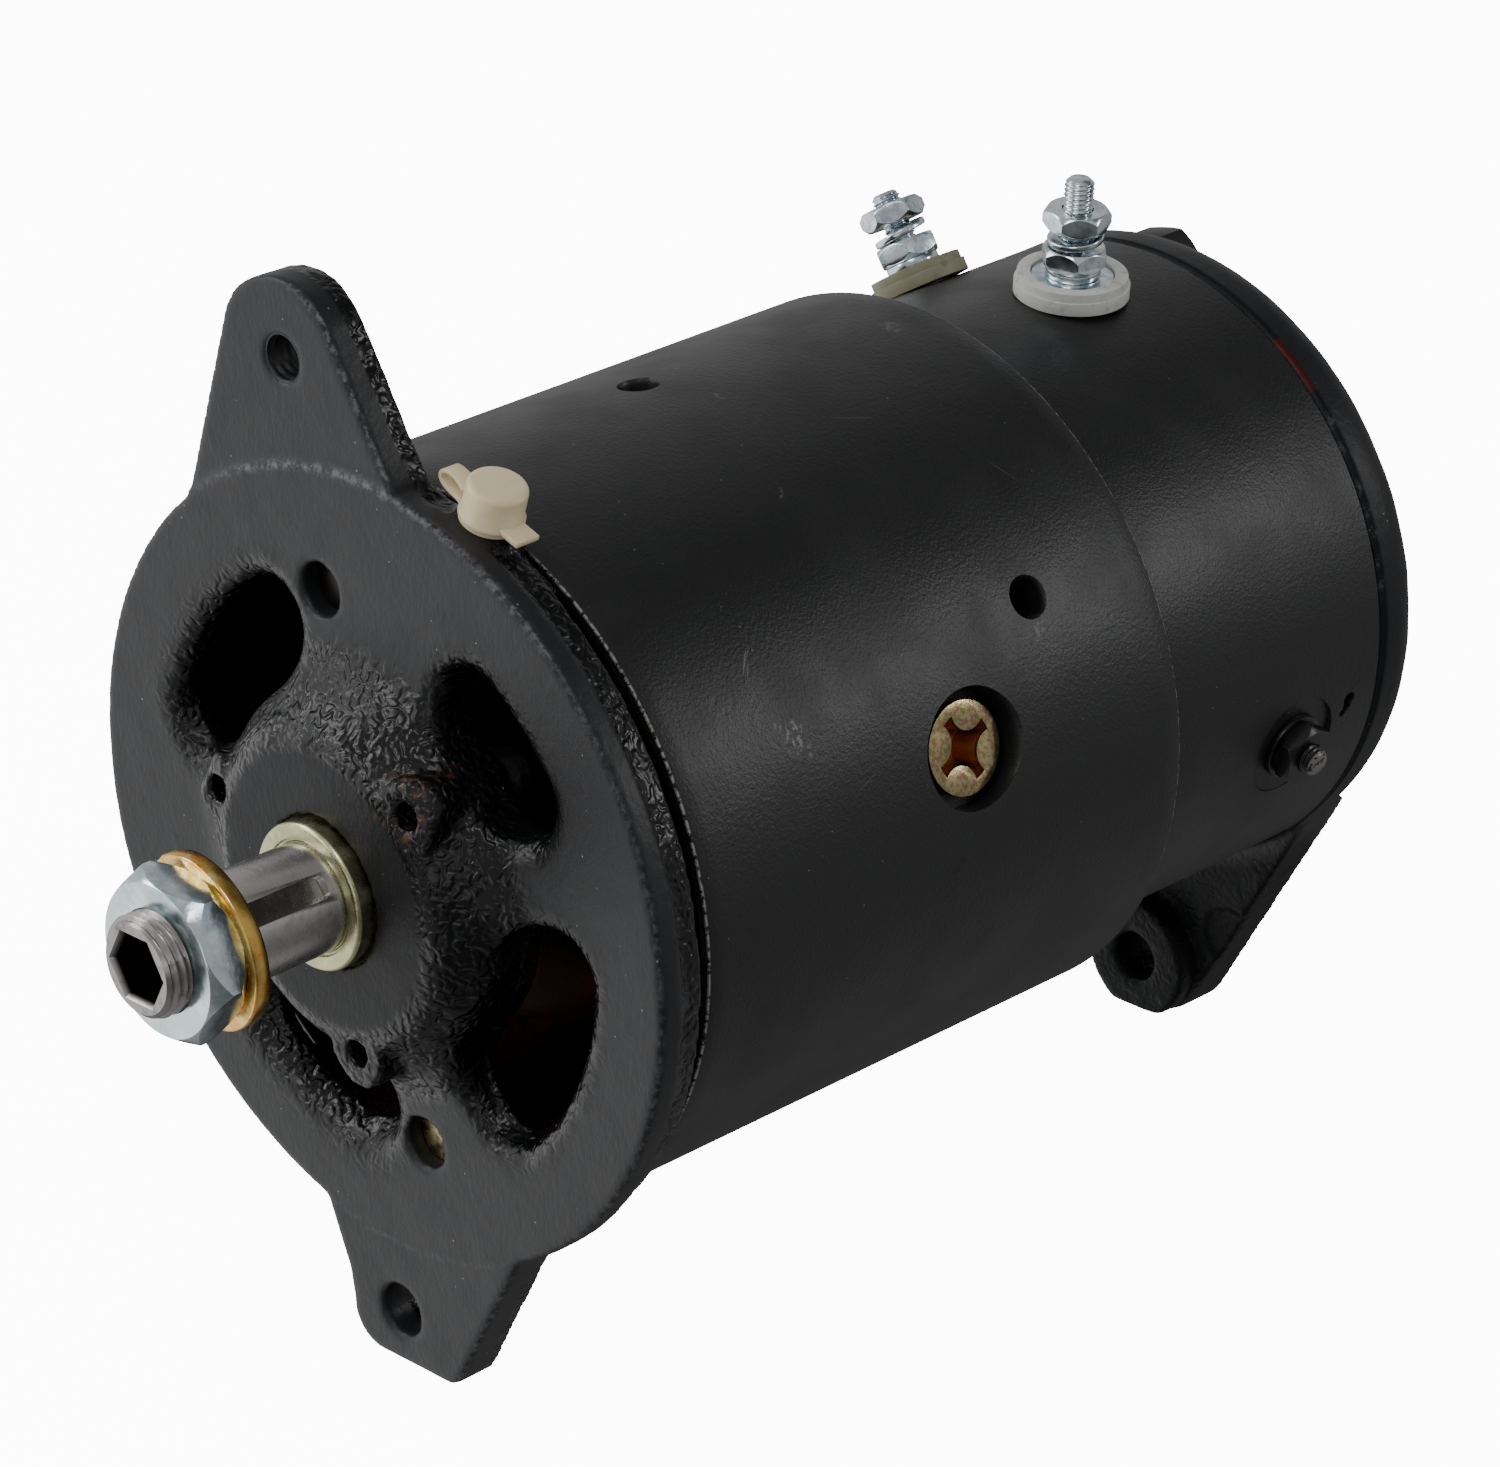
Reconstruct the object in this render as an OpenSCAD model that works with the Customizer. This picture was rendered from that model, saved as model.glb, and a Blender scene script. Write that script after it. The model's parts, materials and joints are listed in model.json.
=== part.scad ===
// A tractor generator: a two-pole, shunt-wound direct-current machine without its pulley.
// The shaft lies along Y, with its threaded drive end towards -Y, and Z is up.
// The origin is on the shaft axis, at the front face of the spacer collar, where a pulley seats.
// Angles about the shaft run from +Z towards +X. All sizes are millimetres.

/* [Shaft] */
// Diameter of the pulley seat
seat_d = 17; // [16.5:0.1:18]
// Length of the pulley seat, from the thread to the spacer collar
seat_l = 16.6; // [12:0.2:24]
// Major diameter of the shaft nut's thread
nut_thread_d = 15.9; // [14:0.1:16.2]
// Length of the threaded end
nut_thread_l = 15; // [13:0.5:24]
// Hex socket in the shaft's end, across its flats
socket_af = 9.5; // [6:0.1:10]
// Depth of the hex socket
socket_depth = 12; // [6:0.5:13]
// Width of the keyway
keyway_w = 3.8; // [3:0.1:5]
// Depth of the keyway below the seat
keyway_depth = 2; // [1:0.1:2.5]
// Distance from the keyway's closed end to the spacer collar
keyway_end = 1.7; // [0.5:0.1:4]
// Diameter of the shaft between its bearings
shaft_d = 20; // [18.5:0.5:22]
// Diameter of the journal in the commutator-end bushing
journal_d = 14.3; // [12:0.1:16]

/* [Shaft nut] */
// Shaft nut across its flats
nut_af = 23.8; // [21:0.1:27]
// Thickness of the shaft nut
nut_t = 6.9; // [5:0.1:8]
// Outer diameter of the split lock washer
lock_washer_d = 27.4; // [24:0.1:30]
// Thickness of the split lock washer
lock_washer_t = 3.4; // [2:0.1:4]
// Outer diameter of the spacer collar
collar_d = 23; // [21:0.1:25]
// How far the spacer collar stands out of the hub
collar_show = 2.8; // [1:0.1:6]

/* [Ball bearing] */
// Outer diameter of the bearing
bearing_d = 40; // [38:0.5:42]
// Width of the bearing
bearing_w = 12; // [10.5:0.5:15]
// Diameter of one ball
ball_d = 6.7; // [5.5:0.1:7]
// Number of balls
ball_count = 8; // [6:1:9]

/* [Drive-end frame] */
// How far the end plate's edge stands out past the field frame
plate_lip = 4.6; // [3:0.1:8]
// Height of the hub's face in front of the end plate
hub_rise = 9.6; // [6:0.1:10.5]
// Width of the smooth machined edge of the end plate
flange_t = 4.4; // [3:0.1:6]
// Width of the rough cast band behind the machined edge
band_t = 5.1; // [4.5:0.1:8]
// Thickness of the plate between its rim and the hub
web_t = 6; // [4:0.1:8]
// Gap between the cast band and the field frame
frame_gap = 4; // [2:0.1:6]
// Corner radius of the windows
window_corner = 7.5; // [4:0.5:8]

/* [Mounting ears] */
// Distance of the two pivot holes below the shaft axis
pivot_drop = 73.6; // [72:0.2:80]
// Diameter of the pivot holes
pivot_d = 8.4; // [7:0.1:9.5]
// Sideways place of the adjusting hole
adjust_x = -13.9; // [-17:0.1:-11]
// Height of the adjusting hole above the shaft axis
adjust_z = 76; // [74:0.2:80]
// Diameter of the adjusting hole's thread
adjust_d = 7.2; // [6:0.1:9]
// Thickness of the two ears of the drive-end frame
ear_t = 7.5; // [6:0.1:9]
// Thickness of the ear of the commutator-end frame
rear_ear_t = 8.4; // [6:0.1:9]

/* [Field frame] */
// Outer diameter of the field frame
frame_d = 114.3; // [112:0.1:117]
// Wall of the field frame
frame_wall = 9.55; // [8.8:0.05:9.9]
// Depth turned off the field frame for the neck at the commutator end
neck_cut = 5.35; // [3.8:0.05:6]
// Length of the field frame
frame_l = 151; // [148:1:165]
// Length of the turned-down neck
neck_l = 52.4; // [45:0.2:56]
// Distance from the field frame's front edge to the middle of the pole shoes
pole_setback = 56; // [54:0.5:60]
// Length of the pole shoes
pole_l = 64; // [50:0.5:66]
// Height of the pole shoes with their shanks
pole_h = 13.5; // [13.2:0.1:15]
// Angle of the right pole about the shaft
pole_a = 77; // [74:0.1:80]
// Head diameter of the pole screws
pole_screw_d = 14.3; // [11:0.1:16]
// Shank diameter of the pole screws
pole_shank_d = 9.5; // [7:0.1:10]
// Angle of the upper through bolt about the shaft
bolt_a = -10.7; // [-13:0.1:-9]
// Diameter of the through bolts
bolt_d = 7.9; // [6:0.1:8]

/* [Armature] */
// Gap between the armature core and the pole shoes
air_gap = 0.6; // [0.4:0.1:2]
// Length of the armature core
core_l = 70; // [60:0.5:72]
// Number of winding slots
slot_count = 14; // [10:1:15]
// Length of each end winding
head_l = 13; // [10:0.5:14]
// Diameter of the commutator's brush track
commutator_d = 41; // [38:0.5:42]
// Length of the commutator's brush track
commutator_l = 24; // [21:0.5:26]
// Number of commutator bars
bar_count = 28; // [20:2:30]

/* [Brushes] */
// Size of a brush along the shaft
brush_l = 16; // [10:0.5:18]
// Size of a brush around the commutator
brush_w = 9.5; // [6:0.5:11]
// Room for the brush springs, between the brushes and the field frame
spring_room = 8.8; // [8:0.1:10.5]

/* [Terminals] */
// Distance from the terminal studs to the field frame's rear edge
terminal_setback = 21.5; // [18:0.5:24]
// Angle of the armature terminal about the shaft
armature_terminal_a = 6.7; // [5:0.1:12]
// Angle of the field terminal about the shaft
field_terminal_a = -31; // [-40:0.5:-28]
// Diameter of the terminal studs
stud_d = 4.8; // [4:0.1:5.2]
// Terminal nuts across their flats
stud_nut_af = 9.5; // [8:0.1:10.5]
// Distance from the ground stud to the field frame's rear edge
ground_setback = 18.5; // [16:0.5:22]
// Angle of the ground stud about the shaft
ground_a = 106; // [102:0.5:110]

/* [Commutator-end frame] */
// Thickness of the commutator-end frame at its rim
end_t = 10.5; // [9:0.1:13]
// How far the bearing boss stands out behind the commutator-end frame
boss_rise = 9; // [7.5:0.5:14]
// Outer diameter of the bushing
bushing_d = 18; // [16.5:0.1:21]
// Diameter of the bearing boss
boss_d = 32; // [28:0.5:36]

/* [Oiler] */
// Angle of the oiler about the shaft
oiler_a = 19.5; // [17:0.5:24]
// Diameter of the oiler's lid at its rim
oiler_d = 9.8; // [8:0.1:11]
// Height of the oiler's lid
oiler_h = 5.6; // [4:0.1:7]

/* [Hidden] */
$fn = 64;

// Clearances
press_gap = 0.02;
running_gap = 0.05;
loose_gap = 0.15;
seat_gap = 0.3;

// Places along the shaft
thread_y = -seat_l;
shaft_front = thread_y - nut_thread_l;
hub_y = collar_show;
plate_y = hub_y + hub_rise;
bearing_y = plate_y - 4.4;
hub_rear = bearing_y + bearing_w;
flange_rear = plate_y + flange_t;
rim_rear = flange_rear + band_t;
frame_y = rim_rear + frame_gap;
frame_rear = frame_y + frame_l;
step_y = frame_rear - neck_l;
pole_y = frame_y + pole_setback;
core_y = pole_y - core_l / 2;
core_rear = core_y + core_l;
inner_face_y = frame_rear + 1.6;
end_rear = frame_rear + end_t;
boss_rear = end_rear + boss_rise;
boss_front = frame_rear - 5;
bar_rear = boss_front - 9;
bar_y = bar_rear - commutator_l;
riser_t = 3.5;
riser_y = bar_y - riser_t;
brush_y = (bar_y + bar_rear) / 2;
terminal_y = frame_rear - terminal_setback;
ground_y = frame_rear - ground_setback;
oiler_y = rim_rear - 0.7;

// Radii about the shaft
seat_r = seat_d / 2;
frame_r = frame_d / 2;
bore_r = frame_r - frame_wall;
neck_r = frame_r - neck_cut;
plate_r = frame_r + plate_lip;
band_r = plate_r - 1.7;
window_r = bore_r - 1.6;
bolt_r = bore_r - 4.7;
spigot_r = bore_r - running_gap;
pole_r = bore_r - pole_h;
core_r = pole_r - air_gap;
commutator_r = commutator_d / 2;
bearing_r = bearing_d / 2;
collar_r = collar_d / 2;
shaft_r = shaft_d / 2;
journal_r = journal_d / 2;
bushing_r = bushing_d / 2;
inner_ring_r = 12.3;
outer_ring_r = bearing_r - 3.6;
ball_pitch_r = (inner_ring_r + outer_ring_r) / 2;

// Drive-end frame
hub_corner_r = 21;
hub_round = 6;
skirt_round = 20;
hub_back_r = 29.5;
rim_inner_r = frame_r - 4.65;
boss_pitch_r = max(25.6, bearing_r + 5.6);
boss_lobe_r = 5.5;
boss_angles = [-70.2, 47.3, 170.1];
screw_hole_r = 2.15;
screw_r = screw_hole_r - loose_gap;
retainer_t = 1.8;
retainer_screw_y = hub_y + 4.5;
bolt_wall = 3.6;
pad_half = 42;
pad_inner_r = bore_r - 3.6;
spigot_l = 5;
bolt_hole_r = bolt_d / 2 + loose_gap;
bolt_depth = 3.2;
// Each window's first angle, last angle and inner radius
windows = [[-80, -22, 30], [28, 66, 31], [87, 147, 29], [180, 227, 29]];

// Felt seal in the hub, around the spacer collar
felt_r = collar_r + 4.2;
felt_t = 2.4;
felt_y = hub_y + 1.2;

// Ears
ear_tip_r = 12.2;
adjust_hole = [adjust_x, adjust_z];
adjust_crown = adjust_hole + [-1.5, -0.5];
adjust_back = 0.8;
pivot_hole = [0, -pivot_drop];
pivot_foot = -pivot_drop - 8.8;
rear_tip_r = 11;

// Field winding and poles
shank_half = 21;
shoe_half = 57;
coil_half = 66;
coil_inner_r = pole_r + 2.4;
coil_outer_r = bore_r - 0.4;
coil_w = 12.5;
coil_gap = 0.5;
coil_round = 2.5;
pole_recess = 2.5;
pole_head_t = 3;
driver_r = 5.4;
driver_lobe_r = 3.3;

// Small holes in the field frame: angle, and distance from its front edge
frame_hole_r = 3;
frame_holes = [[-5.2, 47.7], [59.1, 74.3]];
counterbore_r = pole_screw_d / 2 + 2;
ground_spot_r = 8.6;
ground_spot_depth = 0.8;
vent_a = 101.8;
vent_setback = 7.2;

// Frame dowel
dowel_r = 1.2;
dowel_pitch_r = (neck_r + bore_r) / 2;

// Through bolts
bolt_washer_t = 2;
bolt_head_h = 5.2;

// Commutator-end frame
end_rim_round = 6;
end_spigot_t = 6.5;
wick_r = 2.4;
wick_l = 5.5;
bushing_mid_y = (inner_face_y + end_rear) / 2;

// The seat is a hair thinner than the bearing's journal, so that its length is its own
bearing_seat_r = seat_r + 0.01;
keyway_a = 54;

// Armature slots
slot_r = 3.1;
slot_out_r = core_r - 5;
slot_in_r = slot_out_r - 6.5;
slot_mouth = 2.4;
winding_gap = 0.25;

// Brush gear
brush_gap = 0.3;
brush_low_r = commutator_r + brush_gap;
brush_top_r = bore_r - spring_room;
box_wall = 1.6;
box_low_r = commutator_r + 2;
box_high_r = brush_top_r - 2.5;
holder_foot_t = 2;
insulator_t = 1.2;
spring_t = 0.8;
spring_w = 5;
spring_coil_r = 4.6;
holder_angles = [pole_a, pole_a + 180];
holder_half = brush_w / 2 + running_gap + box_wall;
box_half = brush_l / 2 + running_gap + box_wall;
foot_r0 = commutator_r + 3.5;
foot_r1 = box_high_r;
holder_screws = [for (a = holder_angles) for (r = [foot_r0 + 3.4, foot_r1 - 3.4]) [a, r]];

// Terminal stack, as heights above the neck
stack_seat = 0.1;
stack_lower = 2.2;
stack_upper = 3.6;
cup_r = 6.5;
cup_t = 1;
stack_cup = stack_upper - 0.3;
flat_r = 4.4;
stack_flat = stack_cup + 1.6;
stack_lower_nut = stack_flat + 3.3;
stack_spring = stack_lower_nut + 2.8;
stack_upper_nut = stack_spring + 3.5;
stud_hole_r = stud_d / 2 + 2;
stud_fit = 0.1;
armature_stud_h = 19.5;
field_stud_h = 16.5;
armature_insulator_r = 9.15;
field_insulator_r = 8;
// The stud's free end above its upper nut is a little thinner
stud_free_r = stud_d / 2 - 0.15;

// Oiler
oiler_seat_r = plate_r - 0.15;
oiler_ring_t = 0.9;
oiler_lid_r0 = oiler_seat_r + oiler_ring_t + 0.1;
oiler_top = oiler_lid_r0 + oiler_h;
oiler_bore_r = 2.6;
strap_t = 0.7;
strap_w = 3.6;
strap_reach = 5;
strap_rise = 3.6;

// Outlines and solids of revolution, in the shaft's own directions
function polar(r, a) = [r * sin(a), r * cos(a)];
function arc(c, r, a0, a1, n) = [for (i = [0:n]) c + polar(r, a0 + (a1 - a0) * i / n)];

// Extrudes an [x, z] outline from y over a depth t
module along(y, t) translate([0, y + t, 0]) rotate([90, 0, 0]) linear_extrude(t) children();

// Revolves a [radius, y] profile about the shaft
module revolve() rotate([-90, 0, 0]) rotate_extrude() children();

// Revolves a [radius, y] profile about the shaft from angle a0 to a1
module sector(a0, a1)
    rotate([-90, 0, 0]) rotate([0, 0, a0 - 90]) rotate_extrude(angle = a1 - a0) children();

// Turns a child's +Z outwards at angle a, with its foot at radius r
module radial(a, y, r = 0) translate([0, y, 0]) rotate([0, a, 0]) translate([0, 0, r]) children();

module rod(y, t, r) along(y, t) circle(r);
module tube(y, t, ro, ri) along(y, t) difference() { circle(ro); circle(ri); }
module span(r0, y0, r1, y1) translate([r0, y0]) square([r1 - r0, y1 - y0]);

// A hexagonal prism along Z
module hex(af, h) cylinder(h = h, r = af / sqrt(3), $fn = 6);

// A nut along Z: chamfered hexagon with a round hole
module nut(af, h, hole_r) difference() {
    intersection() {
        hex(af, h);
        rotate_extrude() polygon([
            [0, 0], [af / 2 - 0.1, 0], [af / sqrt(3) + 0.1, 0.12 * af],
            [af / sqrt(3) + 0.1, h - 0.12 * af], [af / 2 - 0.1, h], [0, h]]);
    }
    translate([0, 0, -1]) cylinder(h = h + 2, r = hole_r);
}

// A split lock washer along Z, with a slanted cut
module lock_ring(ro, ri, h) difference() {
    cylinder(h = h, r = ro);
    translate([0, 0, -1]) cylinder(h = h + 2, r = ri);
    translate([(ro + ri) / 2, 0, h / 2]) rotate([30, 0, 0]) cube([2 * (ro - ri), 0.18 * ro, 4 * h], center = true);
}

// Drive end

// A sector between radii r0 and r1 from angle a0 to a1, with corners of radius c
module window_outline(a0, a1, r0, r1, c) {
    in_off = asin(c / (r0 + c));
    out_off = asin(c / (r1 - c));
    polygon(concat(
        arc([0, 0], r1, a0 + out_off, a1 - out_off, 12),
        arc(polar(r1 - c, a1 - out_off), c, a1 - out_off, a1 + 90, 6),
        arc(polar(r0 + c, a1 - in_off), c, a1 + 90, a1 - in_off + 180, 6),
        arc([0, 0], r0, a1 - in_off, a0 + in_off, 8),
        arc(polar(r0 + c, a0 + in_off), c, a0 + in_off + 180, a0 + 270, 6),
        arc(polar(r1 - c, a0 + out_off), c, a0 - 90, a0 + out_off, 6)
    ));
}

// Half section of the hub, web and rim, with the skirt that sweeps from hub to plate
module end_plate_profile() {
    rise = plate_y - hub_y;
    corner = [hub_corner_r, hub_y + hub_round];
    sweep_x = hub_corner_r + sqrt(pow(hub_round + skirt_round, 2) - pow(hub_round + skirt_round - rise, 2));
    sweep = [sweep_x, plate_y - skirt_round];
    meet = corner + (sweep - corner) * hub_round / (hub_round + skirt_round);
    difference() {
        union() {
            polygon([[0, hub_y], [hub_corner_r, hub_y], meet, [sweep_x, plate_y],
                [sweep_x, plate_y + web_t], [hub_corner_r, hub_rear], [0, hub_rear]]);
            translate(corner) circle(hub_round);
        }
        translate(sweep) circle(skirt_round);
        span(0, hub_rear, hub_back_r, hub_rear + 20);
    }
    span(20, plate_y, band_r, plate_y + web_t);
    span(20, plate_y + 1, hub_back_r, hub_rear);
    span(rim_inner_r, plate_y, band_r, rim_rear);
    span(rim_inner_r, plate_y, plate_r, flange_rear);
}

// A point on a rounded tip's edge, drawn in by a hair so that the flank runs into the arc
function flank(centre, r, a) = centre + polar(r - press_gap, a);

module adjusting_ear() along(plate_y + adjust_back, ear_t) {
    translate(adjust_hole) circle(ear_tip_r);
    translate(adjust_crown) circle(ear_tip_r);
    polygon([
        flank(adjust_hole, ear_tip_r, 0), flank(adjust_hole, ear_tip_r, 60.5), [7.1, 64], [9.8, 60], [4, 50],
        [-34, 44], [-37.8, 49.8], flank(adjust_crown, ear_tip_r, -70), flank(adjust_crown, ear_tip_r, 0)]);
}

module pivot_ear() {
    left = [-5.4, pivot_foot + 6];
    right = [9.6, pivot_foot + 4];
    along(plate_y, ear_t) {
        translate(left) circle(6);
        translate(right) circle(4);
        polygon([
            flank(left, 6, 180), flank(left, 6, -90), [-11.8, pivot_foot + 11.4], [-16, -60], [-20, -50],
            [31, -50], [27, -56.5], flank(right, 4, 121), flank(right, 4, 180)]);
    }
}

module drive_end_frame() color("#1d1e20") difference() {
    union() {
        difference() {
            union() {
                revolve() end_plate_profile();
                for (a = [bolt_a, bolt_a + 180]) {
                    sector(a - pad_half, a + pad_half) span(pad_inner_r, plate_y + 1, frame_r - 0.4, frame_y);
                    sector(a - pad_half, a + pad_half) span(pad_inner_r, frame_y - 1, spigot_r, frame_y + spigot_l);
                    radial(a, 0) translate([0, 0, bolt_r]) rod(plate_y + 1, rim_rear - plate_y, bolt_hole_r + bolt_wall);
                }
            }
            for (w = windows)
                along(hub_y, frame_y + spigot_l) window_outline(w[0], w[1], w[2], window_r, window_corner);
        }
        for (a = boss_angles)
            radial(a, 0) translate([0, 0, boss_pitch_r])
                along(hub_y + 0.8, hub_rear - hub_y - 1.4) circle(boss_lobe_r);
        adjusting_ear();
        pivot_ear();
        // Oiler boss, rising through the cast band
        intersection() {
            radial(oiler_a, oiler_y, rim_inner_r) cylinder(h = oiler_seat_r - rim_inner_r, r = oiler_d / 2 + 0.8);
            rod(plate_y, frame_y - seat_gap - plate_y, plate_r);
        }
    }
    rod(hub_y - 1, bearing_y, collar_r + seat_gap);
    rod(felt_y, felt_t, felt_r);
    rod(bearing_y, bearing_w + 1, bearing_r + press_gap);
    for (a = boss_angles)
        radial(a, 0) translate([0, 0, boss_pitch_r]) rod(hub_y, hub_rear, screw_hole_r);
    for (a = [bolt_a, bolt_a + 180])
        radial(a, 0) translate([0, 0, bolt_r]) rod(plate_y - 1, 40, bolt_hole_r);
    translate([adjust_x, 0, adjust_z]) rod(plate_y - 1, 20, adjust_d / 2);
    translate([0, 0, -pivot_drop]) rod(plate_y - 1, 20, pivot_d / 2);
    radial(oiler_a, oiler_y, rim_inner_r - 3) cylinder(h = 20, r = oiler_bore_r);
}

module bearing_retainer() color("#8b8d8f") difference() {
    union() {
        rod(hub_rear, retainer_t, bearing_r + 2);
        for (a = boss_angles)
            radial(a, 0) translate([0, 0, boss_pitch_r]) rod(hub_rear, retainer_t, boss_lobe_r - 0.5);
    }
    rod(hub_rear - 1, 4, shaft_r + 3.4);
    for (a = boss_angles)
        radial(a, 0) translate([0, 0, boss_pitch_r]) rod(hub_rear - 1, 4, screw_hole_r);
}

module bearing_retainer_screws() color("#9a9c9e")
    for (a = boss_angles)
        radial(a, 0) translate([0, 0, boss_pitch_r]) {
            rod(retainer_screw_y, hub_rear + retainer_t - retainer_screw_y, screw_r);
            difference() {
                rod(hub_rear + retainer_t, 2.6, 2 * screw_r);
                translate([-5, hub_rear + retainer_t + 1.6, -0.5]) cube([10, 2, 1]);
            }
        }

module bearing_felt_seal() color("#7b766a") tube(felt_y, felt_t, felt_r - running_gap, collar_r + running_gap);

// Ball bearing

module ball_track() translate([ball_pitch_r, bearing_y + bearing_w / 2]) circle(ball_d / 2 + running_gap);

module bearing_outer_ring() color("#b9bcc0") revolve() difference() {
    span(outer_ring_r, bearing_y, bearing_r, hub_rear);
    ball_track();
}

module bearing_inner_ring() color("#b9bcc0") revolve() difference() {
    span(bearing_seat_r + press_gap, bearing_y, inner_ring_r, hub_rear);
    ball_track();
}

module bearing_balls() color("#d5d8db")
    for (i = [0:ball_count - 1])
        radial(i * 360 / ball_count, bearing_y + bearing_w / 2, ball_pitch_r) sphere(d = ball_d);

module bearing_cage() color("#b08d4c") difference() {
    tube(bearing_y + bearing_w / 2 - ball_d / 2 - 1, ball_d + 2, ball_pitch_r + 1, ball_pitch_r - 1);
    for (i = [0:ball_count - 1])
        radial(i * 360 / ball_count, bearing_y + bearing_w / 2, ball_pitch_r) sphere(r = ball_d / 2 + loose_gap);
}

// Oiler

module oiler_base() color("#e6d9b8") radial(oiler_a, oiler_y, oiler_seat_r) difference() {
    union() {
        cylinder(h = oiler_ring_t, r = oiler_d / 2 - 0.2);
        translate([0, 0, -6]) cylinder(h = 6.5, r = oiler_bore_r - press_gap);
    }
    translate([0, 0, -7]) cylinder(h = 10, r = 1.4);
}

module oiler_lid() color("#efe3c4") radial(oiler_a, oiler_y, oiler_lid_r0) {
    difference() {
        union() {
            rotate_extrude() polygon(concat(
                [[0, 0], [oiler_d / 2, 0], [oiler_d / 2, 0.5]],
                [for (i = [0:4]) [oiler_d / 2 - 1.2 + 0.8 * cos(i * 22.5), oiler_h - 0.8 + 0.8 * sin(i * 22.5)]],
                [[0, oiler_h]]));
            translate([3, -2.2, 0]) cube([oiler_d / 2 + 0.2, 4.4, 0.9]);
        }
        translate([0, 0, -1]) cylinder(h = oiler_h - 0.2, r = oiler_d / 2 - 1.6);
    }
}

// The living hinge: a flat strap bent in a U, from the base ring to the lid's rim
module oiler_hinge_strap() color("#e9ddbd") radial(oiler_a, oiler_y, oiler_seat_r)
    translate([0, strap_w / 2, 0]) rotate([90, 0, 0]) linear_extrude(strap_w) {
        bend_x = -oiler_d / 2 - strap_reach + strap_rise / 2 + 0.3;
        root_x = -oiler_d / 2 - 0.1;
        difference() {
            translate([bend_x, strap_rise / 2]) circle(strap_rise / 2);
            translate([bend_x, strap_rise / 2]) circle(strap_rise / 2 - strap_t);
            translate([bend_x, -1]) square([strap_rise, strap_rise + 2]);
        }
        translate([bend_x, 0]) square([root_x - bend_x, strap_t]);
        translate([bend_x, strap_rise - strap_t]) square([root_x - bend_x, strap_t]);
    }

// Field frame

module field_frame() color("#1b1c1e") difference() {
    union() {
        tube(frame_y, step_y - frame_y, frame_r, bore_r);
        tube(step_y, neck_l, neck_r, bore_r);
    }
    for (f = frame_holes)
        radial(f[0], frame_y + f[1], bore_r - 2) cylinder(h = 20, r = frame_hole_r);
    // Counterbored pole screws
    for (a = [pole_a, pole_a + 180]) {
        radial(a, pole_y, bore_r - 2) cylinder(h = 20, r = pole_shank_d / 2 + loose_gap);
        radial(a, pole_y, frame_r - pole_recess - pole_head_t) cylinder(h = 20, r = counterbore_r);
    }
    for (a = [armature_terminal_a, field_terminal_a])
        radial(a, terminal_y, bore_r - 2) cylinder(h = 20, r = stud_hole_r);
    radial(ground_a, ground_y, bore_r - 2) cylinder(h = 20, r = stud_d / 2 + loose_gap);
    radial(ground_a, ground_y, neck_r - ground_spot_depth) cylinder(h = 20, r = ground_spot_r);
    radial(vent_a, frame_rear - vent_setback, neck_r - 2) translate([-0.6, -1.6, 0]) cube([1.2, 3.2, 9]);
    radial(pole_a, frame_rear) translate([0, -4, dowel_pitch_r]) rotate([-90, 0, 0]) cylinder(h = 6, r = dowel_r + press_gap);
}

module frame_dowel() color("#a5a7aa")
    radial(pole_a, frame_rear) translate([0, -3.8, dowel_pitch_r]) rotate([-90, 0, 0]) cylinder(h = 6.4, r = dowel_r);

// Pole shoe: a shank against the frame and a curved face over the armature
module pole_shoe(a) color("#55585b") difference() {
    union() {
        sector(a - shank_half, a + shank_half) span(pole_r + 1, pole_y - pole_l / 2, bore_r - running_gap, pole_y + pole_l / 2);
        sector(a - shoe_half, a + shoe_half) span(pole_r, pole_y - pole_l / 2, pole_r + 2, pole_y + pole_l / 2);
    }
    radial(a, pole_y, pole_r - 1) cylinder(h = 20, r = pole_shank_d / 2 + press_gap);
}

module right_pole_shoe() pole_shoe(pole_a);
module left_pole_shoe() pole_shoe(pole_a + 180);

module pole_screws() color("#b7a06a")
    for (a = [pole_a, pole_a + 180])
        radial(a, pole_y) difference() {
            union() {
                translate([0, 0, pole_r + 3])
                    cylinder(h = frame_r - pole_recess - pole_r - 5, r = pole_shank_d / 2);
                translate([0, 0, frame_r - pole_recess - pole_head_t + press_gap])
                    cylinder(h = pole_head_t - press_gap, r = pole_screw_d / 2);
            }
            // Four-armed driving recess
            translate([0, 0, frame_r - pole_recess - pole_head_t - 2.5]) difference() {
                cylinder(h = 8, r = driver_r);
                for (q = [0:90:270])
                    rotate([0, 0, q - 20]) translate([driver_r + 0.5, 0, -1]) cylinder(h = 10, r = driver_lobe_r);
            }
        }

// Field coil: a taped winding bent round the pole shank
module field_coil(a) color("#7a2f24") {
    y0 = pole_y - pole_l / 2 - coil_w - coil_gap;
    y1 = pole_y + pole_l / 2 + coil_w + coil_gap;
    window_half = shank_half + 1;
    c = coil_round;
    difference() {
        sector(a - coil_half, a + coil_half) {
            span(coil_inner_r + c, y0, coil_outer_r - c, y1);
            span(coil_inner_r, y0 + c, coil_outer_r, y1 - c);
            for (r = [coil_inner_r + c, coil_outer_r - c])
                for (y = [y0 + c, y1 - c])
                    translate([r, y]) circle(c);
        }
        sector(a - window_half, a + window_half)
            span(coil_inner_r - 5, y0 + coil_w, coil_outer_r + 5, y1 - coil_w);
    }
}

module right_field_coil() field_coil(pole_a);
module left_field_coil() field_coil(pole_a + 180);

// Through bolts, with their heads behind the commutator-end frame

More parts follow.
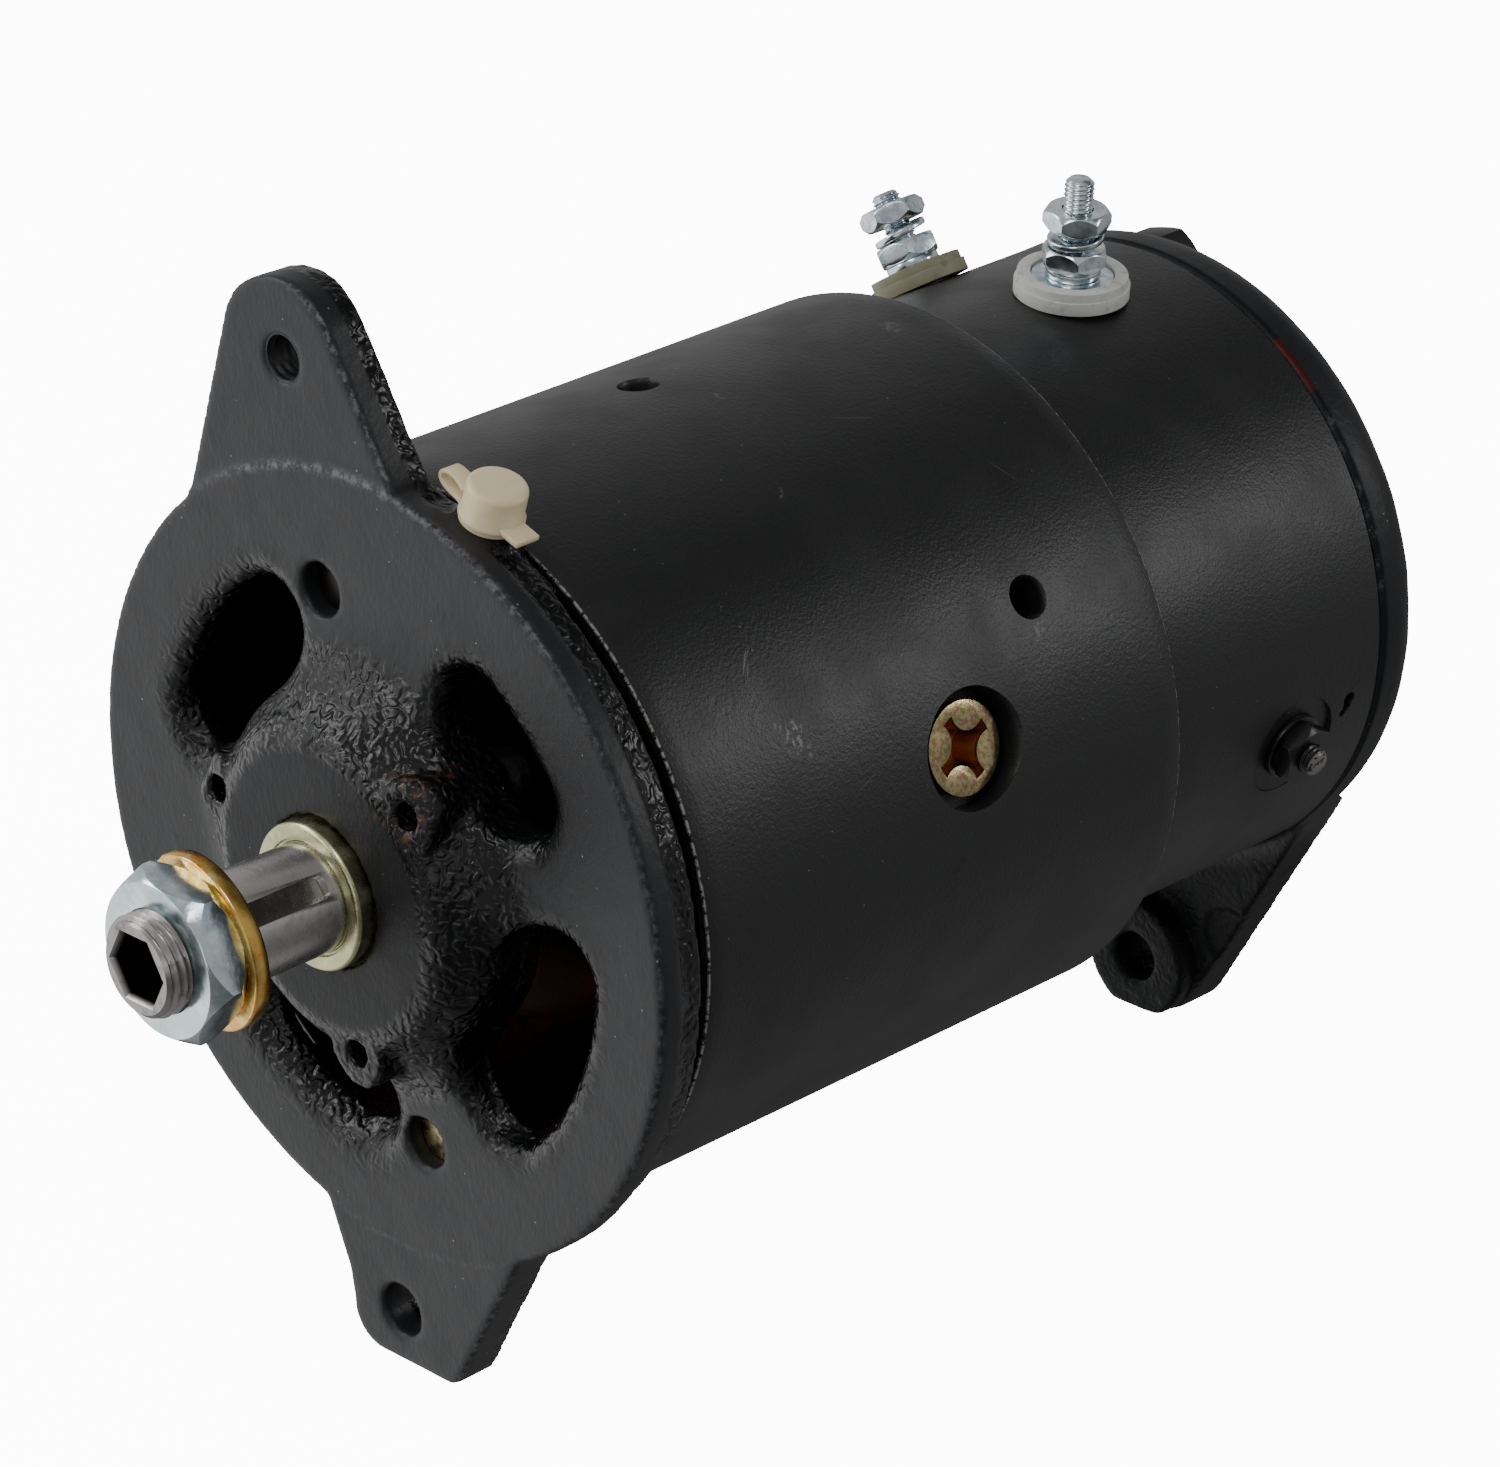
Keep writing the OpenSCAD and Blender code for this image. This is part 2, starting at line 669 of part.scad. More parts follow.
module through_bolts() color("#c8b877")
    for (a = [bolt_a, bolt_a + 180])
        radial(a, 0) translate([0, 0, bolt_r]) {
            rod(plate_y + bolt_depth, end_rear + bolt_washer_t - plate_y - bolt_depth, bolt_d / 2);
            translate([0, end_rear + bolt_washer_t, 0]) rotate([-90, 0, 0]) intersection() {
                hex(1.6 * bolt_d, bolt_head_h);
                rotate_extrude() polygon([[0, 0], [8, 0], [8, 0.75 * bolt_head_h], [0.78 * bolt_d, bolt_head_h], [0, bolt_head_h]]);
            }
        }

module through_bolt_lock_washers() color("#b9bcc0")
    for (a = [bolt_a, bolt_a + 180])
        radial(a, end_rear, bolt_r) rotate([-90, 0, 0]) lock_ring(bolt_d / 2 + 2.4, bolt_d / 2 + loose_gap, bolt_washer_t);

// Commutator end

module end_frame_profile() {
    difference() {
        union() {
            span(0, inner_face_y, neck_r + 0.1, end_rear);
            span(0, boss_front, boss_d / 2, boss_rear);
            span(spigot_r - end_spigot_t, frame_rear - 5, spigot_r, inner_face_y + 1);
            span(spigot_r - end_spigot_t, frame_rear, neck_r + 0.1, inner_face_y + 1);
        }
        // Rounded rear edge of the rim
        difference() {
            span(neck_r + 0.1 - end_rim_round, end_rear - end_rim_round, neck_r + 2, end_rear + 1);
            translate([neck_r + 0.1 - end_rim_round, end_rear - end_rim_round]) circle(end_rim_round);
        }
    }
}

module rear_ear() {
    root = [36, -37];
    along(end_rear - rear_ear_t, rear_ear_t) {
        translate(pivot_hole) circle(rear_tip_r);
        polygon([root, flank(pivot_hole, rear_tip_r, 119.5), flank(pivot_hole, rear_tip_r, 180),
            flank(pivot_hole, rear_tip_r, -119.5), [-root[0], root[1]]]);
    }
    translate([0, 0, -pivot_drop]) rod(end_rear - rear_ear_t - 4.2, 5, rear_tip_r - 0.4);
}

module commutator_end_frame() color("#1c1d1f") difference() {
    union() {
        revolve() end_frame_profile();
        rear_ear();
    }
    rod(boss_front - 1, boss_rear, bushing_r + press_gap);
    translate([0, 0, -pivot_drop]) rod(frame_rear - 10, 40, pivot_d / 2);
    for (a = [bolt_a, bolt_a + 180])
        radial(a, 0) translate([0, 0, bolt_r]) rod(frame_rear - 8, 40, bolt_hole_r);
    // Well for the oil wick, below the bushing
    radial(180, bushing_mid_y, bushing_r - 2) cylinder(h = wick_l + 2 + press_gap, r = wick_r + press_gap);
    for (s = holder_screws)
        radial(s[0], 0) translate([0, 0, s[1]]) rod(inner_face_y - 1, 7, screw_hole_r);
    radial(pole_a, frame_rear) translate([0, -1, dowel_pitch_r]) rotate([-90, 0, 0]) cylinder(h = 4, r = dowel_r + press_gap);
    // Round recess in the ear's front face
    translate([17.5, 0, -pivot_drop + 7.6]) rod(end_rear - rear_ear_t - 1, 1.8, 5.5);
}

module commutator_end_bushing() color("#a5834a") difference() {
    tube(boss_front + 0.5, boss_rear - 3 - boss_front - 0.5, bushing_r, journal_r + running_gap);
    radial(180, bushing_mid_y, journal_r - 1) cylinder(h = bushing_d, r = wick_r + press_gap);
}

module bushing_oil_wick() color("#b9ad8e")
    radial(180, bushing_mid_y, journal_r + running_gap + 0.1) cylinder(h = wick_l + bushing_r - journal_r - 0.3, r = wick_r);

module bushing_end_plug() color("#2a2b2d") difference() {
    rod(boss_rear - 2.6, 2.2, bushing_r);
    rod(boss_rear - 1.4, 2, bushing_r - 2);
}

// Terminals on the neck

module at_terminals() for (a = [armature_terminal_a, field_terminal_a]) radial(a, terminal_y, neck_r) children();

module terminal_stud(a, h) color("#c3c7ca") radial(a, terminal_y, neck_r) {
    translate([0, 0, bore_r - neck_r - 3.6]) cylinder(h = stack_upper_nut - bore_r + neck_r + 3.6, r = stud_d / 2);
    translate([0, 0, stack_upper_nut]) cylinder(h = h - 1 - stack_upper_nut, r = stud_free_r);
    translate([0, 0, h - 1]) cylinder(h = 1, r1 = stud_free_r, r2 = stud_free_r - 0.9, $fn = 48);
    translate([0, 0, bore_r - neck_r - 4.6]) hex(1.7 * stud_d, 2.2);
}

module armature_terminal_stud() terminal_stud(armature_terminal_a, armature_stud_h);
module field_terminal_stud() terminal_stud(field_terminal_a, field_stud_h);

module terminal_insulators(a, r, tint) color(tint) radial(a, terminal_y, neck_r) {
    difference() {
        translate([0, 0, stack_seat]) cylinder(h = stack_lower - stack_seat, r = r);
        translate([0, 0, -1]) cylinder(h = 9, r = stud_d / 2 + stud_fit);
    }
    difference() {
        translate([0, 0, stack_lower + press_gap]) cylinder(h = stack_upper - stack_lower - press_gap, r = r - 0.4);
        translate([0, 0, -1]) cylinder(h = 9, r = stud_d / 2 + stud_fit);
        translate([0, 0, stack_cup - cup_t]) cylinder(h = 9, r = cup_r + loose_gap);
    }
}

module armature_terminal_insulators() terminal_insulators(armature_terminal_a, armature_insulator_r, "#d5d7d3");
module field_terminal_insulators() terminal_insulators(field_terminal_a, field_insulator_r, "#8a866c");

// Shouldered bushes that line the holes in the neck, from inside
module terminal_inner_insulators() color("#6e5236") at_terminals() difference() {
    union() {
        translate([0, 0, bore_r - neck_r - 0.3]) cylinder(h = neck_r - bore_r + 0.3, r = stud_hole_r - running_gap);
        translate([0, 0, bore_r - neck_r - 2.3]) cylinder(h = 1.7, r = stud_hole_r + 1.6);
        translate([0, 0, bore_r - neck_r - 1]) cylinder(h = 1, r = stud_hole_r - running_gap);
    }
    translate([0, 0, -12]) cylinder(h = 20, r = stud_d / 2 + stud_fit);
}

module terminal_cup_washers() color("#c3c7ca") at_terminals() difference() {
    translate([0, 0, stack_cup - cup_t]) cylinder(h = cup_t, r = cup_r);
    cylinder(h = 9, r = stud_d / 2 + stud_fit);
}

module terminal_flat_washers() color("#cbd0d4") at_terminals() difference() {
    translate([0, 0, stack_cup]) cylinder(h = stack_flat - stack_cup, r = flat_r);
    cylinder(h = 9, r = stud_d / 2 + stud_fit);
}

module terminal_lower_nuts() color("#c7d0d8") at_terminals()
    translate([0, 0, stack_flat]) rotate([0, 0, 20]) nut(stud_nut_af, stack_lower_nut - stack_flat, stud_d / 2 + stud_fit);

module terminal_lock_washers() color("#b9c2ca") at_terminals()
    translate([0, 0, stack_lower_nut]) rotate([0, 0, 60])
        lock_ring(stud_nut_af / 2 - 0.2, stud_d / 2 + 0.3, stack_spring - stack_lower_nut);

module terminal_upper_nuts() color("#c7d0d8") at_terminals()
    translate([0, 0, stack_spring + 0.2]) rotate([0, 0, 48]) nut(stud_nut_af, stack_upper_nut - stack_spring - 0.2, stud_d / 2 + stud_fit);

// Ground stud on the neck

module ground_stud() color("#3a3b3c") radial(ground_a, ground_y) {
    translate([0, 0, bore_r - 2]) cylinder(h = neck_r + 4.9 - bore_r + 2, r = stud_d / 2);
    translate([0, 0, neck_r + 4.9]) cylinder(h = 0.8, r1 = stud_d / 2, r2 = stud_d / 2 - 0.7, $fn = 48);
    translate([0, 0, bore_r - 3]) cylinder(h = 2.5, r = stud_d);
}

module ground_washer() color("#232425") radial(ground_a, ground_y, neck_r - ground_spot_depth) difference() {
    cylinder(h = 1.1, r = 5.6);
    translate([0, 0, -1]) cylinder(h = 4, r = stud_d / 2 + stud_fit);
}

module ground_nut() color("#232425") radial(ground_a, ground_y, neck_r + 0.3)
    nut(stud_nut_af, 3.2, stud_d / 2 + stud_fit);

// Brush gear, carried by the commutator-end frame

// A box that guides the brush, on a leg and foot; drawn with its brush moving along +Z
module brush_holder(a, foot_y) color("#9b9d9f") radial(a, 0) difference() {
    union() {
        translate([-holder_half, brush_y - box_half, box_low_r]) cube([2 * holder_half, 2 * box_half, box_high_r - box_low_r]);
        translate([-holder_half, brush_y + box_half - box_wall, foot_r0])
            cube([box_wall, foot_y - brush_y - box_half + box_wall, foot_r1 - foot_r0]);
        translate([holder_half - box_wall, brush_y + box_half - box_wall, foot_r0])
            cube([box_wall, foot_y - brush_y - box_half + box_wall, foot_r1 - foot_r0]);
        translate([-holder_half, foot_y - holder_foot_t, foot_r0]) cube([2 * holder_half, holder_foot_t, foot_r1 - foot_r0]);
        // Post for the brush spring
        translate([holder_half - 0.5, brush_y, box_high_r - 5.5]) rotate([0, 90, 0]) cylinder(h = spring_w + 1.6, r = 1.6);
    }
    translate([-brush_w / 2 - running_gap, brush_y - brush_l / 2 - running_gap, box_low_r - 1])
        cube([brush_w + 2 * running_gap, brush_l + 2 * running_gap, box_high_r]);
    for (r = [foot_r0 + 3.4, foot_r1 - 3.4])
        translate([0, 0, r]) rod(foot_y - holder_foot_t - 1, 5, screw_hole_r);
}

module grounded_brush_holder() brush_holder(holder_angles[0], inner_face_y);
module insulated_brush_holder() brush_holder(holder_angles[1], inner_face_y - insulator_t);

module brush_holder_insulator() color("#6e5236") radial(holder_angles[1], 0) difference() {
    translate([-holder_half - 1, inner_face_y - insulator_t, foot_r0 - 1])
        cube([2 * holder_half + 2, insulator_t, foot_r1 - foot_r0 + 1.5]);
    for (r = [foot_r0 + 3.4, foot_r1 - 3.4])
        translate([0, 0, r]) rod(inner_face_y - insulator_t - 1, 5, screw_hole_r);
}

module brush_holder_screws() color("#a5a7aa")
    for (s = holder_screws) {
        lift = s[0] == holder_angles[1] ? insulator_t : 0;
        head_y = inner_face_y - holder_foot_t - lift;
        radial(s[0], 0) translate([0, 0, s[1]]) {
            rod(head_y, inner_face_y + 4 - head_y, screw_r);
            rod(head_y - 2, 2, 1.6 * screw_r);
        }
    }

module brush(a) color("#37383a") radial(a, 0) difference() {
    translate([-brush_w / 2, brush_y - brush_l / 2, commutator_r - 2]) cube([brush_w, brush_l, brush_top_r - commutator_r + 2]);
    rod(brush_y - brush_l, 2 * brush_l, brush_low_r);
}

module grounded_brush() brush(holder_angles[0]);
module insulated_brush() brush(holder_angles[1]);

// A flat spring coiled on the holder's post, with an arm over the brush
module brush_spring(a) color("#8f9296") radial(a, brush_y) translate([holder_half + 0.3, 0, 0]) {
    post_z = box_high_r - 5.5;
    rotate([0, 90, 0]) translate([-post_z, 0, 0])
        difference() { cylinder(h = spring_w, r = spring_coil_r); translate([0, 0, -1]) cylinder(h = 9, r = spring_coil_r - spring_t); }
    translate([0, spring_coil_r - spring_t, post_z]) cube([spring_w, spring_t, brush_top_r + 0.3 + spring_t - post_z]);
    translate([-holder_half - brush_w / 4, -spring_t, brush_top_r + 0.3]) cube([holder_half + brush_w / 4 + spring_w, spring_coil_r + spring_t, spring_t]);
}

module grounded_brush_spring() brush_spring(holder_angles[0]);
module insulated_brush_spring() brush_spring(holder_angles[1]);

// Armature

module shaft() color("#8d8f92") difference() {
    union() {
        rod(shaft_front + 1, nut_thread_l - 1, nut_thread_d / 2);
        translate([0, shaft_front + 1, 0]) rotate([90, 0, 0]) cylinder(h = 1, r1 = nut_thread_d / 2, r2 = nut_thread_d / 2 - 1);
        rod(thread_y, seat_l, seat_r);
        rod(0, hub_rear, bearing_seat_r);
        rod(hub_rear, boss_front - 3 - hub_rear, shaft_r);
        rod(boss_front - 3, boss_rear - 4.2 - boss_front + 3, journal_r);
    }
    translate([0, shaft_front + socket_depth, 0]) rotate([90, 0, 0]) rotate([0, 0, 30]) hex(socket_af, socket_depth + 1);
    // Keyway with a square, rounded end, open towards the thread
    radial(keyway_a, 0, seat_r - keyway_depth) {
        translate([-keyway_w / 2, thread_y - 1.5, 0]) cube([keyway_w, seat_l - keyway_end - 1 + 1.5, 6]);
        translate([-keyway_w / 2 + 1, thread_y, 0]) cube([keyway_w - 2, seat_l - keyway_end, 6]);
        for (x = [-1, 1]) translate([x * (keyway_w / 2 - 1), -keyway_end - 1, 0]) cylinder(h = 6, r = 1);
    }
}

module spacer_collar() color("#c9c39a") revolve() difference() {
    span(bearing_seat_r + press_gap, 0, collar_r, bearing_y);
    span(0, -1, bearing_seat_r + 0.5, 0.6);
    difference() {
        span(collar_r - 0.8, -1, collar_r + 1, 0.8);
        translate([collar_r - 0.8, 0.8]) circle(0.8);
    }
}

module shaft_lock_washer() color("#c99a35") translate([0, thread_y - lock_washer_t - 0.1, 0])
    rotate([0, -121, 0]) rotate([-90, 0, 0]) lock_ring(lock_washer_d / 2, nut_thread_d / 2 + 0.25, lock_washer_t);

module shaft_nut() color("#c5d2dc") translate([0, thread_y - lock_washer_t - 0.9 - nut_t, 0])
    rotate([0, 8, 0]) rotate([-90, 0, 0]) nut(nut_af, nut_t, nut_thread_d / 2 + running_gap);

// One winding slot, drawn about +Z and shrunk by a gap
module slot_outline(gap) {
    translate([0, slot_out_r]) circle(slot_r - gap);
    translate([0, slot_in_r]) circle(0.6 * slot_r - gap);
    polygon([
        [-slot_r + gap, slot_out_r], [slot_r - gap, slot_out_r],
        [0.6 * slot_r - gap, slot_in_r], [-0.6 * slot_r + gap, slot_in_r]]);
}

module armature_core() color("#3f4143") along(core_y, core_l) difference() {
    circle(core_r);
    circle(shaft_r + press_gap);
    for (i = [0:slot_count - 1]) rotate(i * 360 / slot_count) {
        slot_outline(0);
        translate([-slot_mouth / 2, slot_out_r]) square([slot_mouth, core_r]);
    }
}

// The winding: bars in the slots, joined by rounded end windings
module armature_winding() color("#4a2a1c") {
    head_r = slot_out_r + slot_r - winding_gap;
    head_in = shaft_r + 1.2;
    for (i = [0:slot_count - 1]) rotate([0, i * 360 / slot_count, 0])
        along(core_y - 1, core_l + 2) slot_outline(winding_gap);
    for (y = [core_y - seat_gap - head_l, core_rear + seat_gap])
        revolve() {
            span(head_in, y, head_r - 3, y + head_l);
            span(head_in, y + 3, head_r, y + head_l - 3);
            for (s = [3, head_l - 3]) translate([head_r - 3, y + s]) circle(3);
        }
}

module commutator_bars() color("#b4703f") {
    mica = 0.8;
    half = 180 / bar_count - asin(mica / 2 / commutator_r);
    for (i = [0:bar_count - 1])
        sector((i + 0.5) * 360 / bar_count - half, (i + 0.5) * 360 / bar_count + half) {
            span(commutator_r - 7.5, riser_y, commutator_r, bar_rear);
            span(commutator_r - 7.5, riser_y, commutator_r + 4, bar_y);
        }
}

module commutator_body() color("#3b2a20") {
    tube(riser_y - 1.5, bar_rear - riser_y + 3, commutator_r - 7.5 - press_gap, shaft_r + press_gap);
    tube(riser_y - 1.5, 1.4, commutator_r - 1, shaft_r + 1);
    tube(bar_rear + 0.1, 1.4, commutator_r - 2, shaft_r + 1);
}

module thrust_washer() color("#7c5a38") tube(boss_front - 2.6, 2.4, shaft_r + 1.5, journal_r + loose_gap);

drive_end_frame();
field_frame();
commutator_end_frame();
bearing_outer_ring();
bearing_retainer();
bearing_retainer_screws();
bearing_felt_seal();
right_pole_shoe();
left_pole_shoe();
pole_screws();
right_field_coil();
left_field_coil();
through_bolts();
through_bolt_lock_washers();
frame_dowel();
commutator_end_bushing();
bushing_end_plug();
bushing_oil_wick();
armature_terminal_stud();
field_terminal_stud();
armature_terminal_insulators();
field_terminal_insulators();
terminal_inner_insulators();
terminal_cup_washers();
terminal_flat_washers();
terminal_lower_nuts();
terminal_lock_washers();
terminal_upper_nuts();
ground_stud();
ground_washer();
ground_nut();
grounded_brush_holder();
insulated_brush_holder();
brush_holder_insulator();
brush_holder_screws();
grounded_brush_spring();
insulated_brush_spring();
oiler_base();
oiler_hinge_strap();
oiler_lid();
grounded_brush();
insulated_brush();
shaft();
spacer_collar();
shaft_lock_washer();
shaft_nut();
bearing_inner_ring();
armature_core();
armature_winding();
commutator_bars();
commutator_body();
thrust_washer();
bearing_balls();
bearing_cage();
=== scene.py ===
"""Looks of a tractor generator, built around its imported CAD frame.

Sizes are millimetres in the part's frame: the shaft lies along Y with its drive end towards -Y,
Z is up, and angles about the shaft run from +Z towards +X.
"""

import json
import logging
import math
from dataclasses import dataclass
from enum import Enum
from functools import cache
from typing import Iterable, Optional, Sequence, Union

import bmesh
import bpy
import numpy as np
from mathutils import Matrix, Vector

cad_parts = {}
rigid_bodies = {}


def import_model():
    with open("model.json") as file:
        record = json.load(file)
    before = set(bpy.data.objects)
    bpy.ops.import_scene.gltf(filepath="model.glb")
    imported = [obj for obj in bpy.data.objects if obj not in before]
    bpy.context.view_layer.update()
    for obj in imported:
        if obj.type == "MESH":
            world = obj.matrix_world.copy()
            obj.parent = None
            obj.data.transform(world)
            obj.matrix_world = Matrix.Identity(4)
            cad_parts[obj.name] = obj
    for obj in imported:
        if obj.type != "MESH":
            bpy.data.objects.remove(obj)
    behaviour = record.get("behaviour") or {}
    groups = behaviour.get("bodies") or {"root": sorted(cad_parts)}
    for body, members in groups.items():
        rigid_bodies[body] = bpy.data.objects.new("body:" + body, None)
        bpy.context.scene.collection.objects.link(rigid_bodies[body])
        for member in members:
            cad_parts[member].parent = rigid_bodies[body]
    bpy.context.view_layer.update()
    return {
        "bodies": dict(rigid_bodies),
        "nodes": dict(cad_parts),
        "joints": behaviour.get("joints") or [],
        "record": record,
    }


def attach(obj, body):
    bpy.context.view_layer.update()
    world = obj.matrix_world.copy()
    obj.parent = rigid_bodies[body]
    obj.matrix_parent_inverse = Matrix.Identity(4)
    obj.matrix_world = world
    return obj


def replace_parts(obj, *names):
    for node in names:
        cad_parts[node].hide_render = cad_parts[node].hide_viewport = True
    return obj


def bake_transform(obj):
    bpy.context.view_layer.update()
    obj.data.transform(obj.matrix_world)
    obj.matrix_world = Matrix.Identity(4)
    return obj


LOG = logging.getLogger("generator")
MM = 0.001
TURN = 2 * math.pi
Point2 = tuple[float, float]
Point3 = tuple[float, float, float]
Source = Union[bpy.types.Node, bpy.types.NodeSocket]

# Every mask has the same soft edge
SMOOTH = {"interpolation_type": "SMOOTHSTEP"}
# Lays +Z along the shaft, towards +Y
ALONG_SHAFT = Matrix.Rotation(-math.pi / 2, 4, "X")


class Body(str, Enum):
    """Bodies of the CAD frame that pieces ride on."""

    STATOR = "stator"
    ARMATURE = "armature"
    LID = "oiler_lid"
    GROUNDED_BRUSH = "grounded_brush"
    INSULATED_BRUSH = "insulated_brush"


class Along(Enum):
    """Ways in which a pattern can change over the part."""

    X = 0
    SHAFT = 1
    Z = 2
    REACH = 3


def radial(angle: float, y: float, r: float = 0.0) -> Matrix:
    """Place whose +Z points away from the shaft, with +Y still along it.

    Args:
        angle: Degrees about the shaft.
        y: Distance along the shaft.
        r: Distance from the shaft's axis.

    Returns:
        Matrix in millimetres.
    """
    sin, cos = math.sin(math.radians(angle)), math.cos(math.radians(angle))
    return Matrix(((cos, 0, sin, r * sin), (0, 1, 0, y), (-sin, 0, cos, r * cos), (0, 0, 0, 1)))


# Materials


def linear(colour: str) -> tuple[float, float, float, float]:
    """Turns an sRGB hex colour into linear light.

    Args:
        colour: Six hex digits after a hash.

    Returns:
        Red, green, blue and alpha, linear.
    """
    parts = [int(colour[i : i + 2], 16) / 255 for i in (1, 3, 5)]
    r, g, b = (c / 12.92 if c <= 0.04045 else ((c + 0.055) / 1.055) ** 2.4 for c in parts)
    return (r, g, b, 1.0)


def add(
    tree: bpy.types.NodeTree, kind: str, inputs: Sequence | dict = (), **settings: object
) -> bpy.types.Node:
    """Adds a node with its settings and links.

    Args:
        tree: The node tree.
        kind: The node's type, without the words that all types start with.
        inputs: Values, sockets or nodes for its inputs, in order, or by number or name.
        settings: Values for the node itself.

    Returns:
        The new node.
    """
    node = tree.nodes.new("ShaderNode" + kind)
    for key, value in settings.items():
        setattr(node, key, value)
    for key, value in inputs.items() if isinstance(inputs, dict) else enumerate(inputs):
        feed(tree, node.inputs[key], value)
    return node


def feed(tree: bpy.types.NodeTree, socket: bpy.types.NodeSocket, value: object) -> None:
    """Links a socket to another or to a node's first output, or sets its value.

    Args:
        tree: The node tree.
        socket: The input.
        value: What goes into it.
    """
    if isinstance(value, bpy.types.Node):
        value = value.outputs[0]
    if isinstance(value, bpy.types.NodeSocket):
        tree.links.new(value, socket)
    else:
        socket.default_value = value


@dataclass(frozen=True)
class Mark:
    """A scuff, rub or scratch on a tube, by its place and half sizes."""

    angle: float
    y: float
    across: float
    along: float
    strength: float
    turn: float = 0.0
    broken: float = 0.0


class Shader:
    """A material's node tree, built up from patterns sized in millimetres."""

    def __init__(
        self, name: str, colour: str, roughness: float, metallic: float = 0.0, specular: float = 0.5
    ) -> None:
        """Starts from one even surface.

        Args:
            name: The material's name.
            colour: Its sRGB hex colour.
            roughness: Its roughness.
            metallic: 1 for bare metal.
            specular: Strength of the reflection, where it isn't metal.
        """
        self.material = bpy.data.materials.new(name)
        self.material.use_nodes = True
        self.tree = self.material.node_tree
        self.tree.nodes.clear()
        self.surface = self.add("BsdfPrincipled")
        self.add("OutputMaterial", (self.surface,))
        self.coords = self.add("TexCoord").outputs["Object"]
        self.normal: Optional[bpy.types.Node] = None
        self.colour: object = linear(colour)
        self.rough: object = roughness
        self.put("Base Color", self.colour).put("Roughness", roughness).put("Metallic", metallic)
        if not metallic:
            self.put("Specular IOR Level", specular)

    def add(self, kind: str, inputs: Sequence | dict = (), **settings: object) -> bpy.types.Node:
        """Adds a node to this material."""
        return add(self.tree, kind, inputs, **settings)

    def put(self, name: str, value: object) -> "Shader":
        """Sets or links one of the surface's inputs."""
        feed(self.tree, self.surface.inputs[name], value)
        return self

    def overlap(self, first: Source, *others: Source | float) -> Source:
        """Mask where several masks are 1. A number among them dims it."""
        for other in others:
            first = self.add("Math", (first, other), operation="MULTIPLY")
        return first

    def along(self, way: Along) -> Source:
        """One coordinate of the part in metres, or the distance from the shaft's axis."""
        if way is not Along.REACH:
            return self.add("SeparateXYZ", (self.coords,)).outputs[way.value]
        flat = self.add("VectorMath", (self.coords, (1, 0, 1)), operation="MULTIPLY")
        return self.add("VectorMath", (flat,), operation="LENGTH").outputs["Value"]

    def past(self, way: Along, low: float, high: float) -> Source:
        """Mask that rises from 0 at one place to 1 at another, in millimetres."""
        return self.add("MapRange", (self.along(way), low * MM, high * MM, 0.0, 1.0), **SMOOTH)

    def short_of(self, way: Along, low: float, high: float) -> Source:
        """Mask that falls from 1 at one place to 0 at another, in millimetres."""
        return self.add("MapRange", (self.along(way), low * MM, high * MM, 1.0, 0.0), **SMOOTH)

    def near(self, way: Along, place: float, width: float) -> Source:
        """Mask of a line.

        Args:
            way: The way that is measured.
            place: Where the line is.
            width: How far its soft edge reaches to each side.

        Returns:
            The mask.
        """
        off = self.add("Math", (self.along(way), place * MM), operation="SUBTRACT")
        away = self.add("Math", (off,), operation="ABSOLUTE")
        return self.add("MapRange", (away, 0.5 * width * MM, width * MM, 1.0, 0.0), **SMOOTH)

    def cloud(self, size: float, detail: float, rough: float, coords: Optional[Source]) -> dict:
        """Inputs of a cloudy pattern, its size in millimetres."""
        return {"Vector": coords or self.coords, "Scale": 1 / (size * MM), "Detail": detail, "Roughness": rough}

    def patches(
        self, size: float, low: float, high: float, detail: float = 2.0, rough: float = 0.5,
        coords: Optional[Source] = None,
    ) -> Source:
        """Mask of scattered patches with soft edges.

        Args:
            size: Size of the patches.
            low: Height in the clouds where a patch starts.
            high: Height in the clouds where it is full.
            detail: How many finer layers break its edge.
            rough: How strong they are.
            coords: Coordinates other than the part's own.

        Returns:
            The mask.
        """
        clouds = self.add("TexNoise", self.cloud(size, detail, rough, coords))
        return self.add("MapRange", (clouds, low, high, 0.0, 1.0), **SMOOTH)

    def specks(
        self, spacing: float, solid: float, end: float, gathered: float, full: float,
        coords: Optional[Source] = None,
    ) -> Source:
        """Mask of fine specks of dust that gather in clouds.

        Args:
            spacing: Distance from speck to speck.
            solid: Share of the spacing up to which a speck is solid.
            end: Share of the spacing at which it ends.
            gathered: Size of the clouds.
            full: Height in the clouds where specks are strongest.
            coords: Coordinates other than the part's own.

        Returns:
            The mask.
        """
        cells = {"Vector": coords or self.coords, "Scale": 1 / (spacing * MM)}
        away = self.add("TexVoronoi", cells, feature="F1")
        speck = self.add("MapRange", (away, solid, end, 1.0, 0.0), **SMOOTH)
        return self.overlap(speck, self.patches(gathered, 0.5, full, coords=coords))

    def unrolled(self, radius: float) -> Source:
        """Coordinates of a tube rolled out flat: along its girth, then along the shaft."""
        angle = self.add("Math", (self.along(Along.X), self.along(Along.Z)), operation="ARCTAN2")
        return self.add("CombineXYZ", (self.overlap(angle, radius * MM), self.along(Along.SHAFT)))

